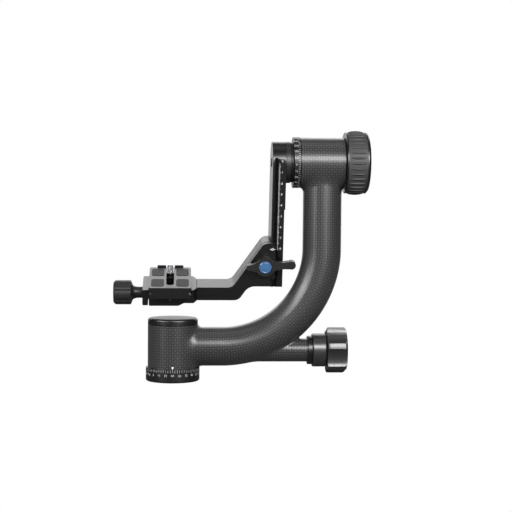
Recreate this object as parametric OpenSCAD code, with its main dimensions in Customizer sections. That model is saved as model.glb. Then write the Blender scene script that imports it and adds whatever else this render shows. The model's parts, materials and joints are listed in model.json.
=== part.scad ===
// Gimbal tripod head: a J-shaped carbon arm turns on a tripod base and carries a swing arm,
// with a quick release clamp that slides up and down it.
// Origin: centre of the tripod socket's mouth on the underside of the base.
// +Z is the pan axis, +X runs from it to the upright of the arm, and +Y points to the back.

/* [Base and pan] */
// Diameter of the dial ring at the foot
ring_d = 48; // [46:0.5:54]
// Height of the dial ring
ring_h = 12; // [11:0.5:16]
// Bore of the 3/8 inch tripod thread
thread_d = 8; // [7:0.1:9]
// Diameter of the carbon sleeve that turns on the spindle
sleeve_d = 44.6; // [43:0.1:45.8]
// Height of the sleeve above the top of the tube
sleeve_over = 2.3; // [1:0.1:8]
// Thickness of the cap on the sleeve
cap_h = 6; // [4:0.5:12]
// Diameter of the pan spindle and of the tilt shaft
shaft_d = 17; // [14:0.5:19]
// Outside diameter of the four ball bearings
bearing_d = 26; // [25:0.5:28]
// Width of a bearing
bearing_w = 5; // [4:0.5:6]

/* [Carbon arm] */
// Diameter of the bent tube
tube_d = 34.7; // [32:0.1:36]
// Wall of the carbon tubes
carbon_wall = 2.4; // [1.5:0.1:3]
// Height of the tube's underside above the sleeve's lower edge
tube_lift = 0.7; // [0.5:0.1:3]
// Distance from the pan axis to the upright
arm_reach = 133.2; // [130:0.2:145]
// Radius of the bend, on the tube's centre line
bend_r = 89; // [80:1:95]
// Height of the tilt axis
tilt_h = 195.3; // [188:0.1:215]
// Diameter of the cross tube at the tilt axis
cross_d = 44.8; // [44:0.1:50]
// Length of the cross tube inboard of the upright's axis
cross_in = 20.7; // [19:0.1:21.2]
// Length of the cross tube outboard of the upright's axis
cross_out = 18.6; // [18.2:0.1:24]

/* [Pan lock] */
// Diameter of the branch that carries the lock rod
branch_d = 20.8; // [18:0.1:24]
// Drop of the branch's axis below the tube's axis
branch_drop = 3.3; // [2:0.1:5]
// Gap between the bend and the flange at the end of the branch
branch_clear = 5.8; // [4:0.1:14]
// Diameter of the lock rod
rod_d = 5; // [4:0.1:7]
// Diameter of the flange on the branch
flange_d = 25.6; // [24:0.2:30]
// Thickness of that flange
flange_t = 4.2; // [3:0.1:6]
// Diameter of the pan knob's collar
collar_d = 29.8; // [28:0.2:34]
// Length of the collar
collar_l = 12.9; // [8:0.1:16]
// Diameter of the pan knob over its lobes
pan_knob_d = 42.2; // [38:0.2:48]
// Length of the pan knob's grip
pan_knob_l = 17.8; // [16:0.2:28]
// Number of lobes
pan_lobes = 6; // [4:1:9]

/* [Tilt head] */
// Width of the tilt scale ring
tilt_ring_w = 6.3; // [4:0.1:9]
// Diameter of the tilt scale ring
tilt_ring_d = 45.4; // [44:0.1:50]
// Thickness of the flange between the swing arm and the scale ring
hub_t = 6.6; // [4:0.1:9]
// Diameter of the tilt knob
tilt_knob_d = 57.2; // [54:0.2:64]
// Length of the tilt knob
tilt_knob_l = 21.6; // [20:0.1:28]
// Number of ribs round the tilt knob
tilt_ribs = 36; // [24:1:40]

/* [Swing arm] */
// Angle of the swing arm from plumb, as photographed
rest_tilt = 14.5; // [0:0.5:30]
// Width of the swing arm, front to back
rail_w = 36.8; // [34:0.2:40]
// Thickness of the swing arm
rail_t = 12; // [10:0.1:14]
// Distance from the tilt axis to the swing arm's lower end
rail_drop = 111.4; // [108:0.2:116]
// Depth of the guide grooves in its edges
groove_depth = 2; // [1:0.1:2.5]

/* [Cradle] */
// Thickness of the platform arm
platform_t = 12.1; // [11:0.1:15]
// Thickness of the sloping part, square to its faces
slope_t = 11.7; // [9:0.1:13]
// Angle of the slope above the platform
slope_angle = 56.1; // [52:0.1:60]
// Distance from the swing arm to the foot of the slope
slope_reach = 34.2; // [32:0.2:38]
// Drop of the cradle's top below the tilt axis
cradle_drop = 69; // [66:0.5:74]
// Height of the riser that runs on the swing arm
riser_h = 40.4; // [38:0.2:44]
// Width of the cradle, front to back
cradle_w = 25.6; // [24:0.2:30]
// Reach of each jaw in front of the swing arm's edges
hook_t = 4.4; // [4:0.1:6]
// Thickness of the front jaw
front_jaw_t = 5.8; // [5:0.1:8]
// Height of the front jaw
front_jaw_h = 33.5; // [30:0.5:35]

/* [Clamp lever] */
// Diameter of the lever's hub
lever_hub_d = 17; // [16:0.2:20]
// Length of the long wing, from the pivot
wing_long = 27.4; // [24:0.2:32]
// Length of the short wing
wing_short = 16.6; // [12:0.2:18]
// Thickness of the wings
wing_t = 6; // [4:0.1:7]
// Diameter of the button
button_d = 11.2; // [10:0.2:13]

/* [Quick release] */
// Drop of the plate's top below the tilt axis
plate_drop = 105.2; // [102:0.2:112]
// Distance of the plate's centre line to the left of the pan axis
plate_left = 2.7; // [0:0.1:6]
// Width of the plate and of its dovetail
plate_w = 38; // [36:0.2:40]
// Length of the plate
plate_l = 61.4; // [58:0.2:70]
// Thickness of the plate
plate_t = 10; // [9:0.1:12]
// Thickness of the plate above its dovetail
slab_t = 4.5; // [3.5:0.1:5]
// Depth of the dovetail's undercut
undercut = 3; // [2:0.1:3.5]
// Width of the slot for the camera screw
slot_w = 6.8; // [6.6:0.1:8]
// Length of the clamp along the plate
clamp_l = 40.6; // [36:0.2:44]
// Thickness of the fixed jaw and of the sliding jaw
clamp_jaw_t = 5; // [4:0.1:7]
// Height of the camera stud's thread above the pads
stud_h = 6.6; // [4:0.1:8]
// Diameter of the 1/4 inch camera stud
stud_d = 6.35; // [5:0.05:6.4]
// Diameter of the clamp knob
clamp_knob_d = 22.2; // [18:0.2:26]
// Length of the clamp knob's head
clamp_knob_l = 15.7; // [12:0.2:20]
// Length of the knob's neck
clamp_neck_l = 10.6; // [8:0.2:14]

/* [Fits] */
// Radial clearance of shafts, studs and pins that turn or slide
run_fit = 0.05; // [0.02:0.01:0.08]
// Gap between faces that pass each other
face_gap = 0.2; // [0.1:0.05:0.3]

/* [Hidden] */
$fn = 64;

// Heights on the pan axis
sleeve_z = ring_h + face_gap;
sleeve_h = tube_d + tube_lift + sleeve_over;
sleeve_top = sleeve_z + sleeve_h;
cap_top = sleeve_top + cap_h;
tube_z = sleeve_z + tube_lift + tube_d / 2;
bend_z = tube_z + bend_r;
branch_z = tube_z - branch_drop;
spindle_flange_t = 2.6;
base_disc_h = ring_h - spindle_flange_t - 2 * face_gap;
ring_wall = 4.5;
ring_chamfer = 1;
base_disc_r = ring_d / 2 - ring_wall;
bush_r = 7;
shaft_r = shaft_d / 2;
bearing_r = bearing_d / 2;
bore_shoulder = 2;
low_bearing_z = sleeve_z + 2;
high_bearing_z = sleeve_top - 12;
nut_z = high_bearing_z + bearing_w + 1.6;
nut_h = 4.2;
spindle_top = nut_z + nut_h + 0.5;
base_screw_r = 2;
base_screw_pcd = 24;
base_screw_head_r = 3.8;

// Places along the tilt axis, from the upright to the swing arm
bend_x = arm_reach - bend_r;
cross_x0 = arm_reach - cross_in;
cross_x1 = arm_reach + cross_out;
tilt_ring_x = cross_x0 - tilt_ring_w;
hub_x = tilt_ring_x - face_gap - hub_t;
rail_x1 = hub_x;
rail_x0 = rail_x1 - rail_t;
housing_r = cross_d / 2 - carbon_wall;
pan_housing_r = sleeve_d / 2 - carbon_wall;
left_bearing_x = cross_x0 + 1.5;
end_plate_t = 1.8;
end_plate_x = cross_x1 - end_plate_t;
lock_travel = 1;
disc_t = 2.5;
disc_x = end_plate_x - lock_travel - 0.5 - disc_t;
shaft_end = disc_x - face_gap;
collar_w = 3;
right_bearing_x = shaft_end - collar_w - bearing_w - 0.5;
boss_r = 8;
boss_l = 5;
lock_screw_r = 4;
tilt_knob_x = cross_x1 + 0.6;
tilt_knob_r = tilt_knob_d / 2;
rib_h = 0.5;
grip_seat_r = tilt_knob_r - 4.1;
knob_rim = 1;
knob_end = 3;
cap_t = 2;
cap_r = 7;
bolt_head_t = 4;
bolt_depth = 16;
knob_end_r = tilt_knob_r - 1.5;
hub_r = rail_w / 2;
stop_pin_l = 4.5;
stop_pin_r = 1.1;

// Places along the branch, which ends just past the outside of the bend
shoe_r = 4.5;
shoe_x = shaft_r + face_gap;
shoe_l = 8;
rod_x = shoe_x + shoe_l;
spigot_l = 12;
bend_drop = bend_z - branch_z - flange_d / 2;
branch_end = bend_x + sqrt(pow(bend_r + tube_d / 2, 2) - pow(bend_drop, 2)) + branch_clear;
flange_x1 = branch_end + flange_t;
collar_x = flange_x1 + face_gap;
pan_grip_x = collar_x + collar_l;
pan_grip_end = pan_grip_x + pan_knob_l;

// The cradle and clamp, measured down from the tilt axis and across from the pan axis
cradle_front = -(rail_w / 2 + hook_t);
cradle_back = cradle_front + cradle_w;
cradle_mid = (cradle_front + cradle_back) / 2;
cradle_x1 = rail_x0 - face_gap;
lip_gap = 0.8;
clamp_drop = plate_drop + slab_t + lip_gap;
platform_drop = clamp_drop + platform_t;
cradle_low = cradle_drop + riser_h;
slope_x = cradle_x1 - slope_reach;
slope_shift = slope_t / sin(slope_angle);
jaw_seam_drop = cradle_drop + front_jaw_h;
jaw_seam_gap = 0.7;
groove_x = rail_x0 + 4;
hook_x1 = groove_x + 0.2;
step_drop = 39.1;
step_t = 0.8;
pivot_x = cradle_x1 - 5.2;
pivot_drop = cradle_drop + 19.9;
jaw_stud_r = 3;
jaw_pin_r = 2;
jaw_stud_back = cradle_back - 8;
jaw_pin_back = cradle_back - 6;
jaw_pin_front = cradle_front + 2.6;
jaw_pin_x = slope_x + 21;
jaw_pin_drop = cradle_drop + 28;
button_proud = 1.2;
lever_back = cradle_front - face_gap;
lever_front = lever_back - 1.6 - wing_t;

plate_x = -plate_left;
plate_half = plate_w / 2;
plate_back = cradle_mid + plate_l / 2;
plate_front = cradle_mid - plate_l / 2;
plate_low = plate_drop + plate_t;
slot_back = plate_back - 10.7;
slot_front = plate_front + 8.7;
stud_v = slot_back - slot_w / 2 - 0.9;
head_r = 7;
head_drop = plate_drop + 3;
washer_t = 0.8;
pad_l = 20;
pad_w = 11.3;
pad_proud = 0.4;
thread_drop = plate_drop - pad_proud - 0.3;
stud_neck_r = 2.6;
stop_r = 2.5;
stop_h = 2.2;
stop_inset = 2.9;

clamp_front = cradle_mid - clamp_l / 2;
clamp_back = cradle_mid + clamp_l / 2;
floor_drop = plate_low + 0.3;
fixed_jaw_x = plate_x + plate_half + face_gap;
clamp_x1 = fixed_jaw_x + clamp_jaw_t;
clamp_x0 = plate_x - plate_half + 0.1;
clamp_low = platform_drop + 0.2;
bulge_t = 2.6;
end_run = 3.2;
end_slant = 7.2;
bulge_x = plate_x + 7.4;
sliding_x1 = clamp_x0 - 0.8;
sliding_x0 = sliding_x1 - clamp_jaw_t;
clamp_stud_r = 3;
clamp_stud_drop = clamp_low + bulge_t - 6;
tongue_x = plate_x + 6;
tongue_t = 4.6;
tongue_w = 18;
clamp_screw_inset = 8;
clamp_screw_spread = 5;
rear_jaw_w = 10.4;
rear_screw_inset = 6;
rear_screw_spread = 6.8;
rear_screw_low = 7.1;
rear_screw_l = 6.5;
stud_depth = 12;
pin_r = 2;
pin_spread = clamp_l / 2 - 6.8;
neck_x = sliding_x0 - face_gap;
clamp_knob_x = neck_x - clamp_neck_l - clamp_knob_l;

// Colours
black = [0.1, 0.1, 0.105];
grey = [0.2, 0.2, 0.21];
carbon = [0.16, 0.16, 0.17];
steel = [0.72, 0.73, 0.75];
brass = [0.72, 0.6, 0.32];
rubber = [0.24, 0.24, 0.25];
blue = [0.2, 0.42, 0.68];

// The points of an outline whose corners [x, y, radius] are rounded
function arc_corner(a, b, c, r, n = 8) =
    r == 0 ? [b] :
    let (u = (a - b) / norm(a - b), v = (c - b) / norm(c - b), half = acos(u * v) / 2)
    let (m = b + (u + v) / norm(u + v) * r / sin(half), p = b + u * r / tan(half))
    let (start = atan2(p.y - m.y, p.x - m.x), turn = 180 - 2 * half)
    let (way = sign((b - a).x * (c - b).y - (b - a).y * (c - b).x))
    [for (i = [0:n]) m + r * [cos(start + way * turn * i / n), sin(start + way * turn * i / n)]];
function flat(p) = [p.x, p.y];
function rounded(path) = let (n = len(path)) [
    for (i = [0:n - 1])
        each arc_corner(flat(path[(i + n - 1) % n]), flat(path[i]), flat(path[(i + 1) % n]), path[i].z)];

// A cylinder along X between two places
module bar_x(x0, x1, r) {
    translate([x0, 0, 0]) rotate([0, 90, 0]) cylinder(h = x1 - x0, r = r);
}
// A cylinder along Y between two places
module bar_y(y0, y1, r) {
    translate([0, y1, 0]) rotate([90, 0, 0]) cylinder(h = y1 - y0, r = r);
}
// An outline in X and Z, drawn out along Y
module along_y(y0, y1) {
    translate([0, y1, 0]) rotate([90, 0, 0]) linear_extrude(y1 - y0) children();
}
// An outline in Y and Z, drawn out along X
module along_x(x0, x1) {
    translate([x0, 0, 0]) rotate([90, 0, 90]) linear_extrude(x1 - x0) children();
}
// A profile [radius, x] turned round the X axis
module turned_x(profile) {
    rotate([0, 90, 0]) rotate_extrude() polygon(profile);
}
module ring(r_in, r_out, h) {
    difference() {
        cylinder(h = h, r = r_out);
        translate([0, 0, -1]) cylinder(h = h + 2, r = r_in);
    }
}
module ring_x(x0, x1, r_in, r_out) {
    translate([x0, 0, 0]) rotate([0, 90, 0]) ring(r_in, r_out, x1 - x0);
}
// Moves a piece drawn round the tilt axis, arm hanging down, to its place at the photographed tilt
module swing() {
    translate([0, 0, tilt_h]) rotate([rest_tilt, 0, 0]) children();
}
module on_tilt_axis() {
    translate([0, 0, tilt_h]) children();
}
module on_branch() {
    translate([0, 0, branch_z]) children();
}

// Base: the part that stays on the tripod
module base_disc() {
    color(black) difference() {
        cylinder(h = base_disc_h, r = base_disc_r);
        translate([0, 0, -1]) cylinder(h = base_disc_h + 2, r = bush_r);
        base_screw_places() base_screw_space();
    }
}
module base_screw_places() {
    for (i = [0:2]) rotate([0, 0, 90 + 120 * i]) translate([base_screw_pcd / 2, 0, 0]) children();
}
module base_screw_space() {
    translate([0, 0, -1]) cylinder(h = base_disc_h + spindle_flange_t + 2, r = base_screw_r);
    translate([0, 0, -0.01]) cylinder(h = 2.2, r1 = base_screw_head_r, r2 = base_screw_r);
}
module base_screw(i) {
    color(steel) rotate([0, 0, 90 + 120 * i]) translate([base_screw_pcd / 2, 0, 0]) difference() {
        union() {
            translate([0, 0, 0.2]) cylinder(h = base_disc_h + spindle_flange_t - 0.4, r = base_screw_r);
            translate([0, 0, 0.2]) cylinder(h = 1.9, r1 = base_screw_head_r - 0.2, r2 = base_screw_r);
        }
        cylinder(h = 1.6, r = 1.5, $fn = 6);
    }
}
module dial_ring() {
    outer = ring_d / 2;
    color(black) rotate_extrude() polygon([
        [base_disc_r, 0], [outer - ring_chamfer, 0], [outer, ring_chamfer],
        [outer, ring_h - 0.3], [outer - 0.3, ring_h], [base_disc_r, ring_h]]);
}
module thread_bush() {
    color(steel) ring(thread_d / 2, bush_r, base_disc_h);
}
module pan_spindle() {
    color(steel) difference() {
        union() {
            translate([0, 0, base_disc_h]) cylinder(h = spindle_flange_t, r = base_disc_r - 3);
            translate([0, 0, base_disc_h]) cylinder(h = spindle_top - base_disc_h, r = shaft_r);
        }
        base_screw_places() base_screw_space();
    }
}
module bearing_seat(z) {
    translate([0, 0, z]) ring(shaft_r + run_fit, bearing_r, bearing_w);
}
module pan_bearing_low() {
    color(steel) bearing_seat(low_bearing_z);
}
module pan_bearing_high() {
    color(steel) bearing_seat(high_bearing_z);
}
module spindle_washer() {
    color(steel) translate([0, 0, high_bearing_z + bearing_w + face_gap])
        ring(shaft_r, bearing_r - 0.8, 1.4 - face_gap);
}
module spindle_nut() {
    color(steel) translate([0, 0, nut_z - 0.2]) difference() {
        cylinder(h = nut_h, r = bearing_r - 0.8, $fn = 6);
        translate([0, 0, -1]) cylinder(h = nut_h + 2, r = shaft_r);
    }
}

// Carbon arm: sleeve, lower tube, bend, upright, cross tube and the branch for the pan lock
module arm_path(r) {
    translate([0, 0, tube_z]) bar_x(0, bend_x, r);
    translate([bend_x, 0, bend_z]) rotate([90, 0, 0]) rotate([0, 0, -90])
        rotate_extrude(angle = 90) translate([bend_r, 0]) circle(r);
    translate([arm_reach, 0, bend_z]) cylinder(h = tilt_h - bend_z, r = r);
}
module sleeve_body(r) {
    translate([0, 0, sleeve_z]) cylinder(h = sleeve_h, r = r);
}
module carbon_arm() {
    color(carbon) difference() {
        union() {
            sleeve_body(sleeve_d / 2);
            arm_path(tube_d / 2);
            on_tilt_axis() bar_x(cross_x0, cross_x1, cross_d / 2);
            on_branch() bar_x(bend_x, branch_end, branch_d / 2);
        }
        difference() {
            union() {
                arm_path(tube_d / 2 - carbon_wall);
                on_branch() bar_x(bend_x, branch_end + 1, branch_d / 2 - carbon_wall);
            }
            sleeve_body(sleeve_d / 2);
            on_tilt_axis() bar_x(cross_x0, cross_x1, cross_d / 2);
        }
        translate([0, 0, sleeve_z - 1]) cylinder(h = sleeve_h + 2, r = pan_housing_r);
        on_tilt_axis() bar_x(cross_x0 - 1, cross_x1 + 1, housing_r);
        on_branch() bar_x(0, sleeve_d / 2 + 2, shoe_r + 0.3);
    }
}
module pan_housing() {
    color(grey) difference() {
        sleeve_body(pan_housing_r);
        translate([0, 0, sleeve_z - 1]) cylinder(h = sleeve_h + 2, r = bearing_r - bore_shoulder);
        translate([0, 0, sleeve_z - 1]) cylinder(h = low_bearing_z + bearing_w - sleeve_z + 1, r = bearing_r);
        translate([0, 0, high_bearing_z]) cylinder(h = sleeve_top - high_bearing_z + 1, r = bearing_r);
        translate([0, 0, sleeve_top - 3]) cylinder(h = 4, r = bearing_r + 2.5);
        on_branch() bar_x(0, sleeve_d, shoe_r + run_fit);
    }
}
module base_cap() {
    edge = 2.2;
    color(black) rotate_extrude() polygon(concat(
        [[0, cap_top], [0, sleeve_top + 0.6], [bearing_r + 0.4, sleeve_top + 0.6],
         [bearing_r + 0.4, sleeve_top - 3], [bearing_r + 2.5, sleeve_top - 3],
         [bearing_r + 2.5, sleeve_top], [sleeve_d / 2, sleeve_top]],
        [for (i = [0:6]) [sleeve_d / 2 - edge * (1 - cos(15 * i)), cap_top - edge * (1 - sin(15 * i))]]));
}
module branch_flange() {
    color(black) on_branch() difference() {
        union() {
            bar_x(branch_end, flange_x1, flange_d / 2);
            bar_x(branch_end - spigot_l, branch_end, branch_d / 2 - carbon_wall);
        }
        bar_x(branch_end - spigot_l - 1, flange_x1 + 1, rod_d / 2 + run_fit);
    }
}
module tilt_ring() {
    color(black) on_tilt_axis() turned_x([
        [bearing_r - 1, tilt_ring_x], [tilt_ring_d / 2 - 0.4, tilt_ring_x],
        [tilt_ring_d / 2, tilt_ring_x + 0.4], [tilt_ring_d / 2, cross_x0 - 0.8],
        [tilt_ring_d / 2 - 1, cross_x0 - 0.5], [tilt_ring_d / 2 - 1, cross_x0],
        [bearing_r - 1, cross_x0]]);
}
module tilt_housing() {
    color(grey) on_tilt_axis() difference() {
        bar_x(cross_x0, end_plate_x, housing_r);
        bar_x(cross_x0 - 1, cross_x1, bearing_r - bore_shoulder);
        bar_x(cross_x0 - 1, left_bearing_x + bearing_w, bearing_r);
        bar_x(right_bearing_x, cross_x1, bearing_r);
    }
}
module bearing_x(x) {
    on_tilt_axis() ring_x(x, x + bearing_w, shaft_r + run_fit, bearing_r);
}
module tilt_bearing_left() {
    color(steel) bearing_x(left_bearing_x);
}
module tilt_bearing_right() {
    color(steel) bearing_x(right_bearing_x);
}
module tilt_end_plate() {
    color(black) on_tilt_axis() difference() {
        union() {
            bar_x(end_plate_x, cross_x1, housing_r);
            bar_x(cross_x1, cross_x1 + boss_l, boss_r);
        }
        bar_x(end_plate_x - 1, cross_x1 + boss_l + 1, lock_screw_r + run_fit);
    }
}

// Pan lock: the shoe slides in the housing and the rod and knob turn in the branch
module brake_shoe() {
    color(brass) on_branch() difference() {
        bar_x(0, rod_x, shoe_r);
        translate([0, 0, -20]) cylinder(h = 40, r = shaft_r + face_gap);
    }
}
module lock_rod() {
    color(steel) on_branch() bar_x(rod_x, pan_grip_x + pan_knob_l / 2, rod_d / 2);
}
module pan_knob_collar() {
    color(grey) on_branch() difference() {
        turned_x([
            [0, collar_x], [collar_d / 2 - 0.8, collar_x], [collar_d / 2, collar_x + 0.8],
            [collar_d / 2, pan_grip_x - 1.4], [collar_d / 2 - 1.4, pan_grip_x], [0, pan_grip_x]]);
        bar_x(collar_x - 1, pan_grip_x + 1, rod_d / 2);
    }
}
module pan_knob_grip() {
    r = pan_knob_d / 2;
    edge = 1.7;
    face_edge = 2.8;
    face_inset = 5;
    // fewer lobes leave room for wider and deeper scallops
    scallop_r = 84 / pan_lobes;
    scallop_depth = 27 / pan_lobes;
    photo_turn = -15.5;
    color(grey) on_branch() rotate([photo_turn, 0, 0]) difference() {
        turned_x(concat(
            [[0, pan_grip_x], [r - edge, pan_grip_x]],
            [for (i = [0:6]) [r - edge + edge * sin(15 * i), pan_grip_x + edge * (1 - cos(15 * i))]],
            [for (i = [0:6]) [r - face_inset * (1 - cos(15 * i)), pan_grip_end - face_edge * (1 - sin(15 * i))]],
            [[0, pan_grip_end]]));
        for (i = [0:pan_lobes - 1]) rotate([180 * (2 * i + 1) / pan_lobes, 0, 0])
            translate([0, r - scallop_depth + scallop_r, 0])
                bar_x(pan_grip_x - 1, pan_grip_end + 1, scallop_r);
        bar_x(pan_grip_x - 1, pan_grip_x + pan_knob_l / 2, rod_d / 2);
    }
}

// Tilt lock: the screw and knob push the disc against the end of the tilt shaft
module pressure_disc() {
    color(brass) on_tilt_axis() bar_x(disc_x, disc_x + disc_t, bearing_r - 1);
}
module tilt_screw() {
    color(steel) on_tilt_axis() bar_x(disc_x + disc_t, tilt_knob_x + 14, lock_screw_r);
}
module tilt_knob_core() {
    x1 = tilt_knob_x + tilt_knob_l;
    edge = 3;
    color(black) on_tilt_axis() turned_x(concat(
        [[lock_screw_r, tilt_knob_x + boss_l], [boss_r + 0.6, tilt_knob_x + boss_l],
         [boss_r + 0.6, tilt_knob_x], [tilt_knob_r - 3.4, tilt_knob_x],
         [tilt_knob_r - 2.6, tilt_knob_x + 0.6], [tilt_knob_r - 2.4, tilt_knob_x + knob_rim],
         [grip_seat_r, tilt_knob_x + knob_rim], [grip_seat_r, x1 - knob_end], [knob_end_r, x1 - knob_end]],
        [for (i = [0:6]) [knob_end_r - edge * (1 - cos(15 * i)), x1 - 0.4 - (knob_end - 0.8) * (1 - sin(15 * i))]],
        [[tilt_knob_r / 2, x1 - 0.1], [0, x1], [0, tilt_knob_x + 14], [lock_screw_r, tilt_knob_x + 14]]));
}
module tilt_knob_grip() {
    x0 = tilt_knob_x + knob_rim;
    x1 = tilt_knob_x + tilt_knob_l - knob_end;
    body_r = tilt_knob_r - rib_h;
    crown = 1.3;
    rib_x = x0 + 1.6;
    rib_l = x1 - x0 - 4;
    rib_w = 2 * tilt_knob_r * sin(180 / tilt_ribs) * 0.5;
    color(rubber) on_tilt_axis() difference() {
        union() {
            turned_x(concat(
                [[grip_seat_r, x0]],
                [for (i = [-6:6]) [body_r - crown * i * i / 36, (x0 + x1) / 2 + (x1 - x0) / 12 * i]],
                [[grip_seat_r, x1]]));
            for (i = [0:tilt_ribs - 1]) rotate([360 * i / tilt_ribs, 0, 0])
                translate([rib_x, -rib_w / 2, body_r - 2]) cube([rib_l, rib_w, 2 + rib_h * 0.9]);
        }
        bar_x(x0 - 1, x1 + 1, grip_seat_r);
    }
}

// Swing arm and what turns with it
module swing_arm() {
    color(black) swing() difference() {
        along_x(rail_x0, rail_x1) union() {
            circle(hub_r);
            translate([-hub_r, -rail_drop]) square([rail_w, rail_drop]);
        }
        for (side = [-1, 1]) translate([groove_x, side * hub_r, -rail_drop - 1])
            linear_extrude(rail_drop + 1 + 7.6) polygon([
                [-groove_depth, 0], [0, -groove_depth], [groove_depth, 0], [0, groove_depth]]);
        translate([rail_x1 - step_t, -hub_r - 1, -rail_drop - 1])
            cube([step_t + 1, rail_w + 2, rail_drop + 1 - step_drop]);
        bar_x(rail_x0 - 1, rail_x1 + 1, lock_screw_r);
        bar_x(rail_x0 - 1, rail_x0 + cap_t + bolt_head_t, cap_r);
        stop_place() bar_y(0, stop_pin_l + 1, stop_pin_r);
    }
}
module hub_flange() {
    color(grey) swing() ring_x(hub_x, hub_x + hub_t, shaft_r, hub_r);
}
module tilt_shaft() {
    color(steel) swing() difference() {
        bar_x(hub_x, shaft_end, shaft_r);
        bar_x(hub_x - 1, hub_x + bolt_depth, lock_screw_r);
    }
}
module shaft_bolt() {
    color(steel) swing() {
        bar_x(rail_x0 + cap_t, rail_x0 + cap_t + bolt_head_t, cap_r - 0.5);
        bar_x(rail_x0 + cap_t, hub_x + bolt_depth - 0.5, lock_screw_r);
    }
}
module shaft_cap() {
    color(grey) swing() {
        bar_x(rail_x0, rail_x0 + cap_t, cap_r);
        bar_x(rail_x0 - 0.8, rail_x0 + cap_t, cap_r - 3.2);
    }
}
module shaft_collar() {
    color(steel) swing() ring_x(shaft_end - collar_w, shaft_end, shaft_r, bearing_r - 1);
}
module rail_stop() {
    color(steel) swing() stop_place() bar_y(0, stop_pin_l, stop_pin_r);
}
module stop_place() {
    translate([groove_x, hub_r - 4, -rail_drop + 1.4]) children();
}

// Cradle: platform arm, slope and riser in one piece, with its jaws on the swing arm
function slope_at(drop) = slope_x + (clamp_drop - drop) / tan(slope_angle);
module cradle_outline() {
    polygon(rounded([
        [clamp_x1, -clamp_drop, 0], [slope_x, -clamp_drop, 8.5], [slope_at(cradle_drop), -cradle_drop, 7],
        [cradle_x1, -cradle_drop, 1], [cradle_x1, -cradle_low, 1],
        [slope_at(cradle_low) + slope_shift, -cradle_low, 11],
        [slope_at(platform_drop) + slope_shift, -platform_drop, 8], [clamp_x1, -platform_drop, 0]]));
}
module above_seam(shift) {
    translate([0, -jaw_seam_drop + shift]) square([300, front_jaw_h + 20]);
}
module cradle() {
    color(black) swing() difference() {
        union() {
            along_y(cradle_front, cradle_back) cradle_outline();
            translate([tongue_x, cradle_mid - tongue_w / 2, -platform_drop])
                cube([clamp_x1 - tongue_x + 1, tongue_w, tongue_t]);
        }
        along_y(cradle_front - 1, cradle_front + front_jaw_t) above_seam(-face_gap);
        translate([pivot_x, 0, -pivot_drop]) bar_y(cradle_front, jaw_stud_back, jaw_stud_r);
        translate([jaw_pin_x, 0, -jaw_pin_drop]) bar_y(cradle_front, jaw_pin_back, jaw_pin_r);
        clamp_screw_places() {
            translate([0, 0, -1]) cylinder(h = tongue_t + 2, r = 2);
            translate([0, 0, -0.01]) cylinder(h = 1.8, r1 = 3.8, r2 = 2);
        }
        rear_screw_places() bar_y(-rear_screw_l - 0.5, 1, 2);
    }
}
module clamp_screw_places() {
    for (side = [-1, 1]) clamp_screw_place(side) children();
}
module clamp_screw_place(side) {
    translate([clamp_x1 - clamp_screw_inset, cradle_mid + side * clamp_screw_spread, -platform_drop])
        children();
}
module rear_screw_places() {
    for (side = [-1, 1]) rear_screw_place(side) children();
}
module rear_screw_place(side) {
    translate([cradle_x1 - rear_screw_inset, cradle_back,
               -pivot_drop - rear_screw_low + side * rear_screw_spread]) children();
}
module rear_jaw() {
    low = cradle_low - 1.2;
    high = cradle_drop + 15;
    color(black) swing() difference() {
        union() {
            along_y(cradle_back, hub_r + hook_t)
                translate([cradle_x1 - rear_jaw_w, -low]) square([rear_jaw_w, low - high]);
            along_y(hub_r + face_gap, hub_r + hook_t)
                translate([cradle_x1 - 2, -low]) square([hook_x1 + 2 - cradle_x1, low - high]);
            jaw_tooth(1, low, high);
        }
        rear_screw_places() {
            translate([0, -1, 0]) bar_y(0, hub_r + hook_t, 2);
            translate([0, hub_r + hook_t - cradle_back - 3, 0]) bar_y(0, 4, 3.6);
        }
    }
}
// The ridge of a jaw that runs in the swing arm's groove
module jaw_tooth(side, low, high) {
    reach = groove_depth - face_gap;
    translate([groove_x, side * hub_r, -low]) linear_extrude(low - high) intersection() {
        polygon([[-reach, 0], [0, -reach], [reach, 0], [0, reach]]);
        translate([-10, -10]) square([10.2, 20]);
    }
    translate([groove_x - reach, side * (hub_r + hook_t / 2) - hook_t / 4, -low])
        cube([reach + 0.2, hook_t / 2, low - high]);
    translate([groove_x - reach * 0.6, side > 0 ? hub_r : -hub_r - hook_t / 2, -low])
        cube([reach * 0.6 + 0.2, hook_t / 2, low - high]);
}
module rear_jaw_screw(i) {
    depth = hub_r + hook_t - cradle_back;
    color(steel) swing() rear_screw_place(2 * i - 3) difference() {
        union() {
            bar_y(-rear_screw_l, depth - 3, 2);
            bar_y(depth - 3, depth - 0.3, 3.4);
        }
        translate([0, depth - 2, 0]) rotate([-90, 0, 0]) cylinder(h = 3, r = 1.7, $fn = 6);
    }
}
module jaw_stud() {
    color(steel) swing() translate([pivot_x, 0, -pivot_drop])
        bar_y(lever_back - 4, jaw_stud_back, jaw_stud_r);
}
module jaw_pin() {
    color(steel) swing() translate([jaw_pin_x, 0, -jaw_pin_drop])
        bar_y(jaw_pin_front, jaw_pin_back, jaw_pin_r);
}
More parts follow.
